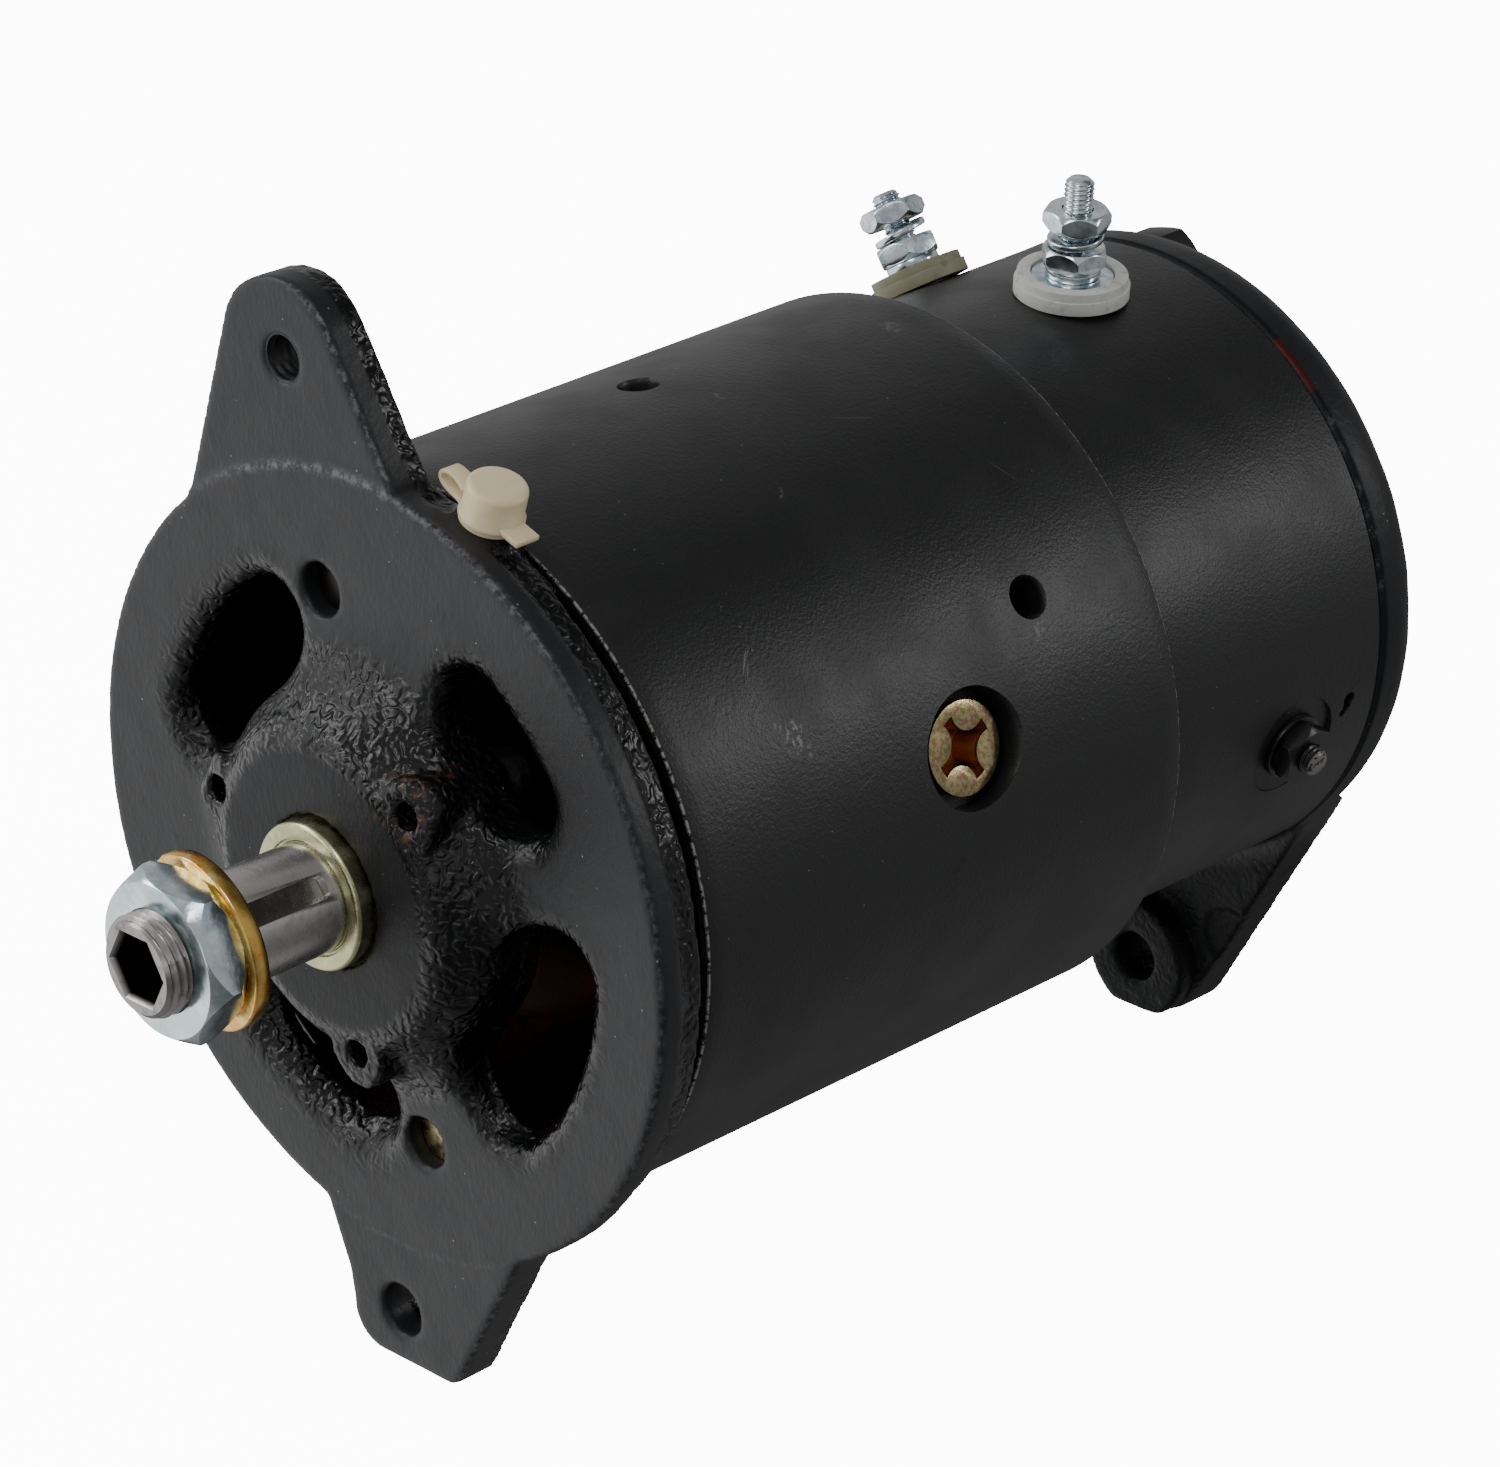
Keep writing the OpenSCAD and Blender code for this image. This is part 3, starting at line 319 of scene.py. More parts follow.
    def mark(self, flat: Source, radius: float, mark: Mark) -> Source:
        """Mask of one mark on a rolled-out tube.

        Args:
            flat: The tube's unrolled coordinates.
            radius: The tube's radius.
            mark: The mark.

        Returns:
            The mask, as strong as the mark inside it.
        """
        centre = (math.radians(mark.angle) * radius * MM, mark.y * MM, 0.0)
        moved = self.add("VectorMath", (flat, centre), operation="SUBTRACT")
        turn = {"Vector": moved, "Angle": math.radians(mark.turn)}
        turned = self.add("VectorRotate", turn, rotation_type="Z_AXIS")
        half = (mark.across * MM, mark.along * MM, 1.0)
        shrunk = self.add("VectorMath", (turned, half), operation="DIVIDE")
        length = self.add("VectorMath", (shrunk,), operation="LENGTH").outputs["Value"]
        soft = self.add("MapRange", (length, 0.5, 1.0, 1.0, 0.0), **SMOOTH)
        if mark.broken:
            flecks = self.patches(0.9, mark.broken - 0.05, mark.broken + 0.05, 3, 0.6, flat)
            soft = self.overlap(soft, flecks)
        return self.overlap(soft, mark.strength)

    def tint(self, mask: object, colour: str) -> "Shader":
        """Mixes a colour in where the mask is 1."""
        mixed = self.add("Mix", {0: mask, 6: self.colour, 7: linear(colour)}, data_type="RGBA")
        self.colour = mixed.outputs[2]
        return self.put("Base Color", self.colour)

    def polish(self, mask: object, roughness: float) -> "Shader":
        """Mixes a roughness in where the mask is 1."""
        self.rough = self.add("Mix", {0: mask, 2: self.rough, 3: roughness}, data_type="FLOAT")
        return self.put("Roughness", self.rough)

    def dull(self, mask: Source, specular: float) -> "Shader":
        """Takes the reflection away where the mask is 1, and leaves its strength elsewhere."""
        lit = self.add("Math", (1.0, mask), operation="SUBTRACT")
        return self.put("Specular IOR Level", self.overlap(lit, specular))

    def relief(self, height: Source, depth: float, where: object = 1.0) -> "Shader":
        """Raises the surface where the height is 1.

        Args:
            height: The pattern of heights.
            depth: How far it is raised.
            where: Mask of where that shows.

        Returns:
            This shader.
        """
        before = {} if self.normal is None else {"Normal": self.normal}
        inputs = {"Height": height, "Distance": depth * MM, "Strength": where, **before}
        self.normal = self.add("Bump", inputs)
        return self.put("Normal", self.normal)

    def grain(
        self, size: float, depth: float, detail: float = 2.0, rough: float = 0.5,
        coords: Optional[Source] = None, where: object = 1.0,
    ) -> "Shader":
        """Roughens the surface with lumps.

        Args:
            size: Size of the lumps.
            depth: Their height.
            detail: How many finer layers they have.
            rough: How strong those are.
            coords: Coordinates other than the part's own.
            where: Mask of where they show.

        Returns:
            This shader.
        """
        return self.relief(self.add("TexNoise", self.cloud(size, detail, rough, coords)), depth, where)

    def stretched(self, x: float, y: float, z: float) -> Source:
        """The part's coordinates, multiplied along each axis."""
        return self.add("VectorMath", (self.coords, (x, y, z)), operation="MULTIPLY")


@dataclass(frozen=True)
class Finish:
    """A surface finish: a name, its look in light, and how it is built."""

    name: str
    colour: str
    roughness: float
    metallic: float = 0.0
    specular: float = 0.5

    def build(self) -> bpy.types.Material:
        """Makes the material."""
        shader = Shader(self.name, self.colour, self.roughness, self.metallic, self.specular)
        self.dress(shader)
        return shader.material

    def dress(self, s: Shader) -> None:
        """Fine handling marks over an even surface."""
        s.grain(0.8, 0.01, 3).polish(s.patches(3.0, 0.35, 0.7, 3), min(1.0, self.roughness * 1.35))


@dataclass(frozen=True)
class EnamelledTube(Finish):
    """Satin enamel sprayed on a turned tube, with rubs and chips of handling.

    It gives the eye broad soft highlights that break up over orange peel, and painted shade in the bore.
    """

    radius: float = 57.15
    rubs: tuple[Mark, ...] = ()
    scratches: tuple[Mark, ...] = ()
    scuffs: tuple[Mark, ...] = ()
    chipped_edges: tuple[Point3, ...] = ()
    bore: Point2 = (48.2, 49.5)
    face: Point2 = (26.0, 26.3)
    face_rim: Point2 = (55.4, 56.0)

    def dress(self, s: Shader) -> None:
        """Peel, dust and marks outside, and painted shade in the bore and on the front face."""
        flat = s.unrolled(self.radius)
        # The real peel is finer, and is drawn coarser so that it shows
        s.grain(1.0, 0.06, 2, 0.55, flat).grain(0.55, 0.07, 2, 0.6, flat).grain(22.0, 0.25, coords=flat)
        s.tint(s.overlap(s.specks(2.6, 0.035, 0.06, 9.0, 0.62, flat), 0.35), "#b9b6ae")
        s.polish(s.patches(16.0, 0.4, 0.7, 3, coords=flat), self.roughness * 1.2)
        looks = ((self.rubs, "#8d8c88", 0.55), (self.scratches, "#6e6d6a", 0.45), (self.scuffs, "#060606", 0.2))
        for marks, colour, shine in looks:
            for mark in marks:
                mask = s.mark(flat, self.radius, mark)
                s.tint(mask, colour).polish(mask, shine)
        # Painted shade: the bore and the front face are near black, rough and without reflection
        face = s.overlap(s.short_of(Along.REACH, *self.face_rim), s.short_of(Along.SHAFT, *self.face))
        painted_shade = s.add("Math", (s.short_of(Along.REACH, *self.bore), face), operation="MAXIMUM")
        s.tint(painted_shade, "#030303").polish(painted_shade, 0.95).dull(painted_shade, self.specular)
        outer = s.past(Along.REACH, self.radius - 0.55, self.radius - 0.25)
        for y, width, share in self.chipped_edges:
            chips = s.patches(1.0, share - 0.04, share + 0.08, 4, 0.7)
            s.tint(s.overlap(s.near(Along.SHAFT, y, width), chips, outer), "#a5a39d")


@dataclass(frozen=True)
class EnamelledCasting(Finish):
    """Enamel over a casting.

    It gives the eye satin machined faces with fine brush marks, and a glossy, crinkled skin elsewhere.
    """

    crinkle: float = 0.17
    wander: float = 2.2

    def dress(self, s: Shader) -> None:
        """Folds in the glossy skin, brush marks on the machined faces, dust, and bare iron at rubbed edges,
        which also carry painted highlights.
        """
        names = ("raw", "wear_and_highlight", "shaded", "bare", "sealant")
        painted = [s.add("Attribute", attribute_name=name) for name in names]
        raw, wear_and_highlight, shaded, bare, sealant = (node.outputs["Fac"] for node in painted)
        machined = s.add("Math", (1.0, raw), operation="SUBTRACT")
        s.tint(raw, "#0d0e10")
        s.relief(s.add("MapRange", (self.folds(s), 0.0, 0.2, 0.0, 1.0), **SMOOTH), self.crinkle, raw)
        s.grain(4.5, 0.45, 1, 0.5, where=raw)
        s.grain(0.9, 0.075, 3, 0.6, s.stretched(1.0, 1.0, 0.45), machined)
        s.grain(0.45, 0.03, 2, 0.6, where=machined).grain(5.0, 0.12)
        s.polish(s.add("MapRange", (raw, 0.25, 0.8, 0.0, 1.0), **SMOOTH), 0.23).dull(shaded, self.specular)
        s.polish(s.overlap(s.patches(6.0, 0.45, 0.7, 3), 0.4), self.roughness * 1.25)
        s.tint(s.overlap(s.specks(2.4, 0.05, 0.08, 7.0, 0.6), 0.5), "#aaa9a5")
        # Rubbed bare edges, painted light grey and glossier; along the plate's rim, the ears and the rear
        # cover's seam they are also painted highlights
        edge = s.overlap(wear_and_highlight, s.patches(1.3, 0.40, 0.62, 4, 0.7))
        s.tint(s.overlap(edge, 0.75), "#949699").polish(edge, 0.35)
        s.tint(bare, "#6d4434").tint(sealant, "#5a1d1b")

    def folds(self, s: Shader) -> Source:
        """How far each point is from the nearest of many thin folds that wander."""
        clouds = {"Vector": s.coords, "Scale": 1 / (5 * MM), "Detail": 2.0}
        push = s.add("TexNoise", clouds).outputs["Color"]
        small = s.add("VectorMath", {0: push, "Scale": self.wander * MM}, operation="SCALE")
        moved = s.add("VectorMath", (s.coords, small), operation="ADD").outputs[0]
        fold = s.add("TexNoise", s.cloud(2.0, 1, 0.4, moved))
        return s.add("Math", (s.add("Math", (fold, 0.5), operation="SUBTRACT"),), operation="ABSOLUTE")


@dataclass(frozen=True)
class ZincPlate(Finish):
    """Zinc plate over steel. It gives the eye bright reflections with drifting passivation colours."""

    second: str = "#8fa0ad"
    third: str = "#dfe6ea"
    mottle: float = 2.6

    def dress(self, s: Shader) -> None:
        """Two passivation colours, duller patches and fine dents."""
        s.tint(s.patches(self.mottle, 0.42, 0.62, 4, 0.6), self.second)
        s.tint(s.overlap(s.patches(self.mottle * 0.55, 0.5, 0.66, 4, 0.7), 0.8), self.third)
        s.polish(s.patches(self.mottle * 0.7, 0.4, 0.65, 4, 0.65), self.roughness * 1.6)
        s.grain(0.5, 0.008, 3, 0.6).grain(2.2, 0.02)


@dataclass(frozen=True)
class RecessedScrew(ZincPlate):
    """Iridescent zinc plate on the pole screws. It gives the eye pink and green flecks, and an amber recess."""

    face: float = 54.3

    def dress(self, s: Shader) -> None:
        """Two mottled colours on the face, amber below it."""
        # The real mottling is finer, and is drawn coarser so that it shows
        s.tint(s.overlap(s.patches(self.mottle, 0.45, 0.6, 3, 0.6), 0.6), self.second)
        s.tint(s.overlap(s.patches(self.mottle * 1.4, 0.48, 0.62, 3, 0.7), 0.6), self.third)
        recess = s.short_of(Along.REACH, self.face - 0.3, self.face)
        s.tint(recess, "#d08f34").polish(recess, 0.42).grain(0.35, 0.02, 2, 0.6)


@dataclass(frozen=True)
class ThroughBolt(Finish):
    """Through bolts. They give the eye a rubbed golden end, rods inside with painted shade, and heads under the
    enamel.
    """

    upper: Point2 = (-5.0, 5.0)
    inside: Point2 = (18.0, 20.0)
    head: Point2 = (150.0, 160.0)

    def dress(self, s: Shader) -> None:
        """Rubbed gold, darker on the upper bolt, then painted shade inside, then enamel."""
        s.tint(s.patches(1.5, 0.4, 0.65, 3, 0.6), "#7c6f55")
        s.tint(s.past(Along.Z, *self.upper), "#3b3935")
        # Painted shade on the rods inside the housing
        s.tint(s.past(Along.SHAFT, *self.inside), "#1b1916")
        enamel = s.past(Along.SHAFT, *self.head)
        s.tint(enamel, "#101011").polish(enamel, 0.45)
        s.put("Metallic", s.add("Math", (1.0, enamel), operation="SUBTRACT"))


@dataclass(frozen=True)
class PaintedHardware(Finish):
    """Black enamel on small hardware. It gives the eye small sharp glints, and grey metal at the stud's tip."""

    tip: float = 57.05

    def dress(self, s: Shader) -> None:
        """An even coat, with bare metal in flecks at the tip."""
        s.grain(0.6, 0.02, 3)
        flecks = s.patches(0.8, 0.42, 0.5, 3, 0.6)
        s.tint(s.overlap(s.past(Along.REACH, self.tip - 0.2, self.tip), flecks), "#75736f")


@dataclass(frozen=True)
class TurnedSteel(Finish):
    """Turned or ground steel. It gives the eye light drawn out by fine rings, and dark stains."""

    stain: str = "#3b3a38"
    stained: float = 0.45
    socket: bool = False
    socket_wall: Point2 = (5.5, 5.75)
    socket_mouth: Point2 = (-31.5, -30.6)

    def dress(self, s: Shader) -> None:
        """Rings, stains and duller patches, and painted shade in the socket where there is one."""
        # Real turning marks are finer, and are drawn coarser so that they show
        s.grain(0.22, 0.008, 2, 0.6, s.stretched(0.08, 1.0, 0.08))
        s.tint(s.overlap(s.patches(3.2, 0.5, 0.78, 4, 0.65), self.stained), self.stain)
        s.polish(s.patches(1.6, 0.4, 0.7, 4, 0.6), min(1.0, self.roughness * 1.4))
        if self.socket:
            # Painted shade inside the socket
            wall = s.short_of(Along.REACH, *self.socket_wall)
            inside = s.overlap(wall, s.past(Along.SHAFT, *self.socket_mouth))
            s.tint(inside, "#0b0a0a").polish(inside, 0.8)


@dataclass(frozen=True)
class Moulded(Finish):
    """Moulded plastic or fibre. It gives the eye light that passes a little way in, and grime in patches."""

    depth: float = 0.0
    grime: str = "#8a8778"
    soiled: float = 0.3

    def dress(self, s: Shader) -> None:
        """Depth of light, grime and a fine skin."""
        if self.depth:
            s.put("Subsurface Weight", 0.25)
            s.put("Subsurface Radius", (1.0, 0.75, 0.45))
            s.put("Subsurface Scale", self.depth * MM)
        s.tint(s.overlap(s.patches(2.2, 0.5, 0.75, 4, 0.6), self.soiled), self.grime)
        s.grain(0.6, 0.012, 3)


@dataclass(frozen=True)
class TapedWinding(Finish):
    """Winding bound in tape under insulating varnish. It gives the eye slanting laps, with painted shade at the
    top.
    """

    lap: float = 9.0
    # Heights over which painted shade comes in towards the top
    dark: Point2 = (-19.0, -13.0)

    def dress(self, s: Shader) -> None:
        """Laps of tape, lumps, darker patches of varnish, and painted shade towards the top."""
        laps = {"Vector": s.coords, "Scale": 1 / (self.lap * MM) / 20, "Distortion": 1.5, "Detail": 1.0}
        wave = s.add("TexWave", laps, wave_profile="SAW", bands_direction="DIAGONAL")
        s.relief(wave.outputs["Fac"], 0.5).grain(0.6, 0.06)
        # Darker patches of varnish, then painted shade towards the top
        s.tint(s.patches(6.0, 0.5, 0.8, 3), "#5a1610").tint(s.past(Along.Z, *self.dark), "#0c0403")


RUBS = (
    Mark(64.7, 49.3, 3.4, 2.2, 0.72, 20, 0.55),
    Mark(62.2, 47.0, 1.2, 0.8, 0.5, 0, 0.5),
    Mark(67.4, 51.4, 1.4, 1.0, 0.45, 0, 0.5),
    Mark(6.0, 115.9, 2.6, 2.0, 0.22, 0, 0.5),
    Mark(86.0, 128.1, 0.5, 0.9, 0.5),
    Mark(7.0, 78.4, 1.6, 0.7, 0.25, 0, 0.5),
    Mark(64.0, 100.2, 2.6, 1.4, 0.42, 30, 0.54),
    Mark(62.6, 65.4, 1.2, 0.5, 0.25, 20, 0.5),
    Mark(30, 70, 1.6, 0.5, 0.2, 40, 0.5),
)
SCRATCHES = (
    Mark(52.0, 46.2, 0.16, 2.6, 0.8, -52),
    Mark(53.4, 46.0, 0.12, 1.6, 0.7, -60),
    Mark(51.0, 47.4, 0.1, 1.2, 0.6, -40),
    Mark(22, 92, 0.12, 4.5, 0.35, 25),
    Mark(75, 60, 0.1, 3.0, 0.35, -20),
    Mark(40, 108, 0.1, 3.5, 0.3, 60),
)
SCUFFS = (Mark(95.8, 75.4, 3.6, 2.4, 0.9, 15, 0.46), Mark(93.0, 77.5, 1.2, 1.0, 0.9, 0, 0.4))

HARDWARE_ENAMEL = PaintedHardware("black_enamel_over_hardware", "#101011", 0.34)
BOLT_ZINC = ThroughBolt("yellow_zinc_through_bolts_painted_at_the_head", "#e2d0a0", 0.4, 1.0)
# Grey crests with brown grease in the roots, and no light in the socket
THREAD_STEEL = TurnedSteel(
    "worn_thread_steel", "#a19e9c", 0.28, 1.0, stain="#3a332d", stained=0.75, socket=True
)

LOOKS: dict[str, Finish] = {
    "black_cast_iron": EnamelledCasting("black_enamel_over_cast_iron", "#1f2023", 0.42, specular=0.36),
    "black_painted_steel": EnamelledTube(
        "satin_black_enamel_sprayed_on_steel_tube", "#161718", 0.40, specular=0.5, rubs=RUBS,
        scratches=SCRATCHES, scuffs=SCUFFS, chipped_edges=((25.9, 0.55, 0.46), (124.5, 0.35, 0.5)),
    ),
    "black_painted_hardware": HARDWARE_ENAMEL,
    # Near-mirror races and balls
    "bearing_steel": Finish("polished_bearing_steel", "#c4c6c9", 0.12, 1.0),
    # Warm, soft metal shine
    "brass_cage": Finish("pressed_brass", "#b08d4c", 0.3, 1.0),
    # Mid-grey metal, neither bright nor rusty
    "plain_steel": TurnedSteel("plain_turned_steel", "#84868a", 0.34, 1.0),
    # Cool, springy glint
    "spring_steel": Finish("hardened_spring_strip", "#8f9296", 0.28, 1.0),
    # No shine at all
    "felt": Finish("oiled_grey_felt", "#5b574c", 0.95, specular=0.1),
    # Dark and dull
    "pole_iron": TurnedSteel("soft_pole_iron", "#3d3e40", 0.5, 1.0),
    "yellow_zinc": RecessedScrew(
        "iridescent_yellow_zinc_plated_steel", "#b9ac80", 0.24, 1.0,
        second="#9a4f5a", third="#7c8848", mottle=0.8,
    ),
    # Gold that deepens to amber
    "gold_zinc": ZincPlate(
        "golden_zinc_plated_spring_steel", "#ecc168", 0.2, 1.0, second="#d18d3a", third="#f6dc9c", mottle=6.0
    ),
    # Greenish straw
    "pale_yellow_zinc": ZincPlate(
        "pale_yellow_zinc_plated_steel", "#c6c39a", 0.24, 1.0, second="#aeb087", third="#dfdcb8", mottle=6.0
    ),
    # Bluish white with broad bright flats
    "blue_zinc": ZincPlate(
        "blue_white_zinc_plated_steel", "#d6e4e8", 0.16, 1.0, second="#b9ccd4", third="#eef6f7", mottle=6.0
    ),
    # The same, mottled more finely on small faces
    "bright_zinc": ZincPlate(
        "bright_zinc_plated_small_hardware", "#dfe7eb", 0.15, 1.0, second="#b5c4ce", third="#f0f5f6", mottle=3.4
    ),
    # Pale and smooth
    "ground_shaft_steel": TurnedSteel("ground_shaft_steel", "#c6c2bf", 0.22, 1.0, stained=0.3),
    # Near black under varnish
    "lamination_steel": TurnedSteel("varnished_steel_laminations", "#2b2b2d", 0.45, 1.0),
    "red_varnished_winding": TapedWinding("red_varnished_taped_winding", "#d8301f", 0.5, specular=0.2),
    "dark_varnished_winding": TapedWinding("dark_varnished_copper_winding", "#3b1d12", 0.6, specular=0.12),
    # Copper darkened where the brushes run
    "commutator_copper": TurnedSteel("turned_commutator_copper", "#b06a44", 0.3, 1.0, stain="#5a2f1c"),
    # Brown, slightly wet metal
    "bronze": Finish("oil_filled_sintered_bronze", "#8a6a34", 0.4, 1.0),
    # Soft black with a faint sheen
    "brush_carbon": Finish("pressed_brush_carbon", "#1f1f21", 0.6),
    "white_fibre": Moulded("off_white_pressed_fibre", "#cfd0cb", 0.5, depth=0.3, grime="#8b8d89", soiled=0.55),
    "olive_fibre": Moulded("olive_pressed_fibre", "#8d8a72", 0.5, depth=0.3, grime="#5d5a44", soiled=0.6),
    "brown_fibre": Moulded("brown_laminated_fibre", "#4a2e1b", 0.5),
    "cream_plastic": Moulded(
        "cream_moulded_polyethylene", "#ead9b2", 0.34, depth=1.6, grime="#c9bd98", soiled=0.35
    ),
}
# Nodes that were painted over with the cover, whatever their slot says
REPAINTED = {"through_bolt_lock_washers": HARDWARE_ENAMEL}


@cache
def material(finish: Finish) -> bpy.types.Material:
    """The material of a finish, built when it is first asked for."""
    return finish.build()


# Meshes


def link(name: str, data: bpy.types.ID) -> bpy.types.Object:
    """Puts a mesh, light or camera into the scene as an object."""
    obj = bpy.data.objects.new(name, data)
    bpy.context.scene.collection.objects.link(obj)
    return obj


def register(
    data: bpy.types.Mesh, name: str, body: Body | None, slot: str, sharp: float = 40.0,
    look: Optional[Finish] = None,
) -> bpy.types.Object:
    """Makes a mesh a piece, smooth but for its sharp edges.

    Args:
        data: The mesh, in metres.
        name: The piece's name.
        body: The CAD body it moves with, or None for a piece that rides no body.
        slot: The record's material slot.
        sharp: Angle in degrees above which an edge stays sharp.
        look: A finish other than the slot's own.

    Returns:
        The new object.
    """
    obj = link(name, data)
    data.materials.clear()
    data.materials.append(material(look or LOOKS[slot]))
    for polygon in data.polygons:
        polygon.use_smooth = True
    data.set_sharp_from_angle(angle=math.radians(sharp))
    if body is not None:
        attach(obj, body.value)
    return obj


class Mesh:
    """A mesh being built in millimetres."""

    # Points closer than this to the axis lie on it
    ON_AXIS = 1e-6
    # Points closer than this are one
    WELD = 1e-4
    # Rings of points in one turn of a thread
    RINGS_PER_TURN = 10

    def __init__(self, bm: Optional[bmesh.types.BMesh] = None) -> None:
        """Starts empty, or from a mesh that is already there."""
        self.bm = bmesh.new() if bm is None else bm

    def lathe(self, profile: Sequence[Point2], place: Matrix, steps: int) -> "Mesh":
        """Revolves a closed or pole-to-pole outline of (radius, height) about +Z.

        Args:
            profile: The outline's corners. One that starts off the axis is closed.
            place: Where the turned piece goes.
            steps: Faces round the axis.

        Returns:
            This mesh.
        """
        verts = [self.bm.verts.new((r, 0, z)) for r, z in profile]
        edges = [self.bm.edges.new(pair) for pair in zip(verts, verts[1:])]
        if profile[0][0] > self.ON_AXIS:
            edges.append(self.bm.edges.new((verts[-1], verts[0])))
        before = set(self.bm.verts) - set(verts)
        about = {"axis": (0, 0, 1), "cent": (0, 0, 0), "angle": TURN, "steps": steps, "use_merge": True}
        bmesh.ops.spin(self.bm, geom=verts + edges, **about)
        bmesh.ops.remove_doubles(self.bm, verts=[v for v in self.bm.verts if v not in before], dist=self.WELD)
        bmesh.ops.transform(self.bm, matrix=place, verts=[v for v in self.bm.verts if v not in before])
        return self

    def grid(self, rows: Sequence[Sequence[Vector]], caps: bool = True) -> "Mesh":
        """Skins rings of points.

        Args:
            rows: Rings of the same length.
            caps: Whether the first and last ring get a cap.

        Returns:
            This mesh.
        """
        verts = [[self.bm.verts.new(p) for p in row] for row in rows]
        for a, b in zip(verts, verts[1:]):
            for i in range(len(a)):
                j = (i + 1) % len(a)
                self.bm.faces.new((a[i], a[j], b[j], b[i]))
        if caps:
            self.bm.faces.new(list(reversed(verts[0])))
            self.bm.faces.new(verts[-1])
        return self

    def thread(
        self, place: Matrix, major: float, depth: float, pitch: float, length: float, chamfer: float, steps: int
    ) -> "Mesh":
        """A right-handed outside thread along +Z, from 0 to its chamfered free end.

        Args:
            place: Where the thread starts.
            major: Outer radius.
            depth: Depth of the grooves.
            pitch: Distance from crest to crest.
            length: Length of the threaded rod.
            chamfer: Size of the chamfer at the free end.
            steps: Faces round the axis.

        Returns:
            This mesh.
        """
        count = max(2, int(length / pitch * self.RINGS_PER_TURN))
        rows = []
        for k in range(count + 1):
            z = length * k / count
            ring = []
            for i in range(steps):
                a = TURN * i / steps
                wave = abs(2 * ((z / pitch - i / steps) % 1.0) - 1)
                # A little steeper than the pitch asks for, which leaves crests and roots flat
                r = major - depth * min(1.0, max(0.0, 1.15 * wave - 0.06))
                r = min(r, major - chamfer + (length - z))
                ring.append(place @ Vector((r * math.cos(a), r * math.sin(a), z)))
            rows.append(ring)
        return self.grid(rows)

    def moved(self, place: Matrix) -> "Mesh":
        """Moves the whole mesh to a place."""
        bmesh.ops.transform(self.bm, matrix=place, verts=self.bm.verts)
        return self

    def bevel(self, width: float, angle: float, segments: int) -> "Mesh":
        """Rounds every edge sharper than an angle in degrees."""
        sharp = [e for e in self.bm.edges if e.is_manifold and e.calc_face_angle(0) > math.radians(angle)]
        if sharp:
            cut = {"offset": width, "segments": segments, "profile": 0.5, "affect": "EDGES", "material": -1}
            bmesh.ops.bevel(self.bm, geom=sharp, clamp_overlap=True, **cut)
        return self

    def data(self, name: str, outward: bool = True) -> bpy.types.Mesh:
        """Turns the mesh into Blender's own, in metres, with its faces outward if that is asked for."""
        if outward:
            bmesh.ops.recalc_face_normals(self.bm, faces=self.bm.faces)
        bmesh.ops.scale(self.bm, vec=(MM, MM, MM), verts=self.bm.verts)
        data = bpy.data.meshes.new(name)
        self.bm.to_mesh(data)
        self.bm.free()
        return data

    def finish(
        self, name: str, body: Body | None, slot: str, sharp: float = 40.0, look: Optional[Finish] = None
    ) -> bpy.types.Object:
        """Turns the mesh into a piece, as register does."""
        return register(self.data(name), name, body, slot, sharp, look)


def bent(obj: bpy.types.Object, place: Matrix, body: Body, foot: float, head: float) -> bpy.types.Object:
    """Bakes a piece's place into its mesh; the piece does not bend with a moving body.

    Args:
        obj: The piece, which rides no body.
        place: Frame whose +Z leads from the stator's end of the piece to the other. Not used.
        body: The moving body. Not used.
        foot: Height in that frame up to which it stays with the stator. Not used.
        head: Height from which it moves with the body. Not used.

    Returns:
        The same object.
    """
    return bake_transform(obj)


def evaluated(obj: bpy.types.Object) -> bpy.types.Mesh:
    """The object's mesh with its modifiers applied, as a new mesh."""
    graph = bpy.context.evaluated_depsgraph_get()
    graph.update()
    return bpy.data.meshes.new_from_object(obj.evaluated_get(graph), depsgraph=graph)


def drilled(blank: bpy.types.Object, drills: Sequence[bpy.types.Object]) -> bpy.types.Mesh:
    """Cuts drills out of a blank, and takes them all off the scene.

    Args:
        blank: The piece that is drilled.
        drills: What is cut away.

    Returns:
        The drilled mesh.
    """
    for drill in drills:
        cut = blank.modifiers.new(drill.name, "BOOLEAN")
        cut.operation = "DIFFERENCE"
        cut.solver = "EXACT"
        cut.object = drill
    data = evaluated(blank)
    for obj in (blank, *drills):
        bpy.data.objects.remove(obj)
    return data


def welded_copy(node: str, weld: float = 0.004, flat: float = 0.8) -> bmesh.types.BMesh:
    """A copy of a CAD node's mesh with its loose triangles joined, in millimetres.

    Args:
        node: The CAD node.
        weld: Points closer than this are one.
        flat: Faces that differ by fewer degrees are one.

    Returns:
        The copy.
    """
    bm = bmesh.new()
    bm.from_mesh(bpy.data.objects[node].data)
    bmesh.ops.scale(bm, vec=(1 / MM,) * 3, verts=bm.verts)
    bmesh.ops.remove_doubles(bm, verts=bm.verts, dist=weld)
    bmesh.ops.dissolve_limit(bm, angle_limit=math.radians(flat), verts=bm.verts, edges=bm.edges)
    return bm


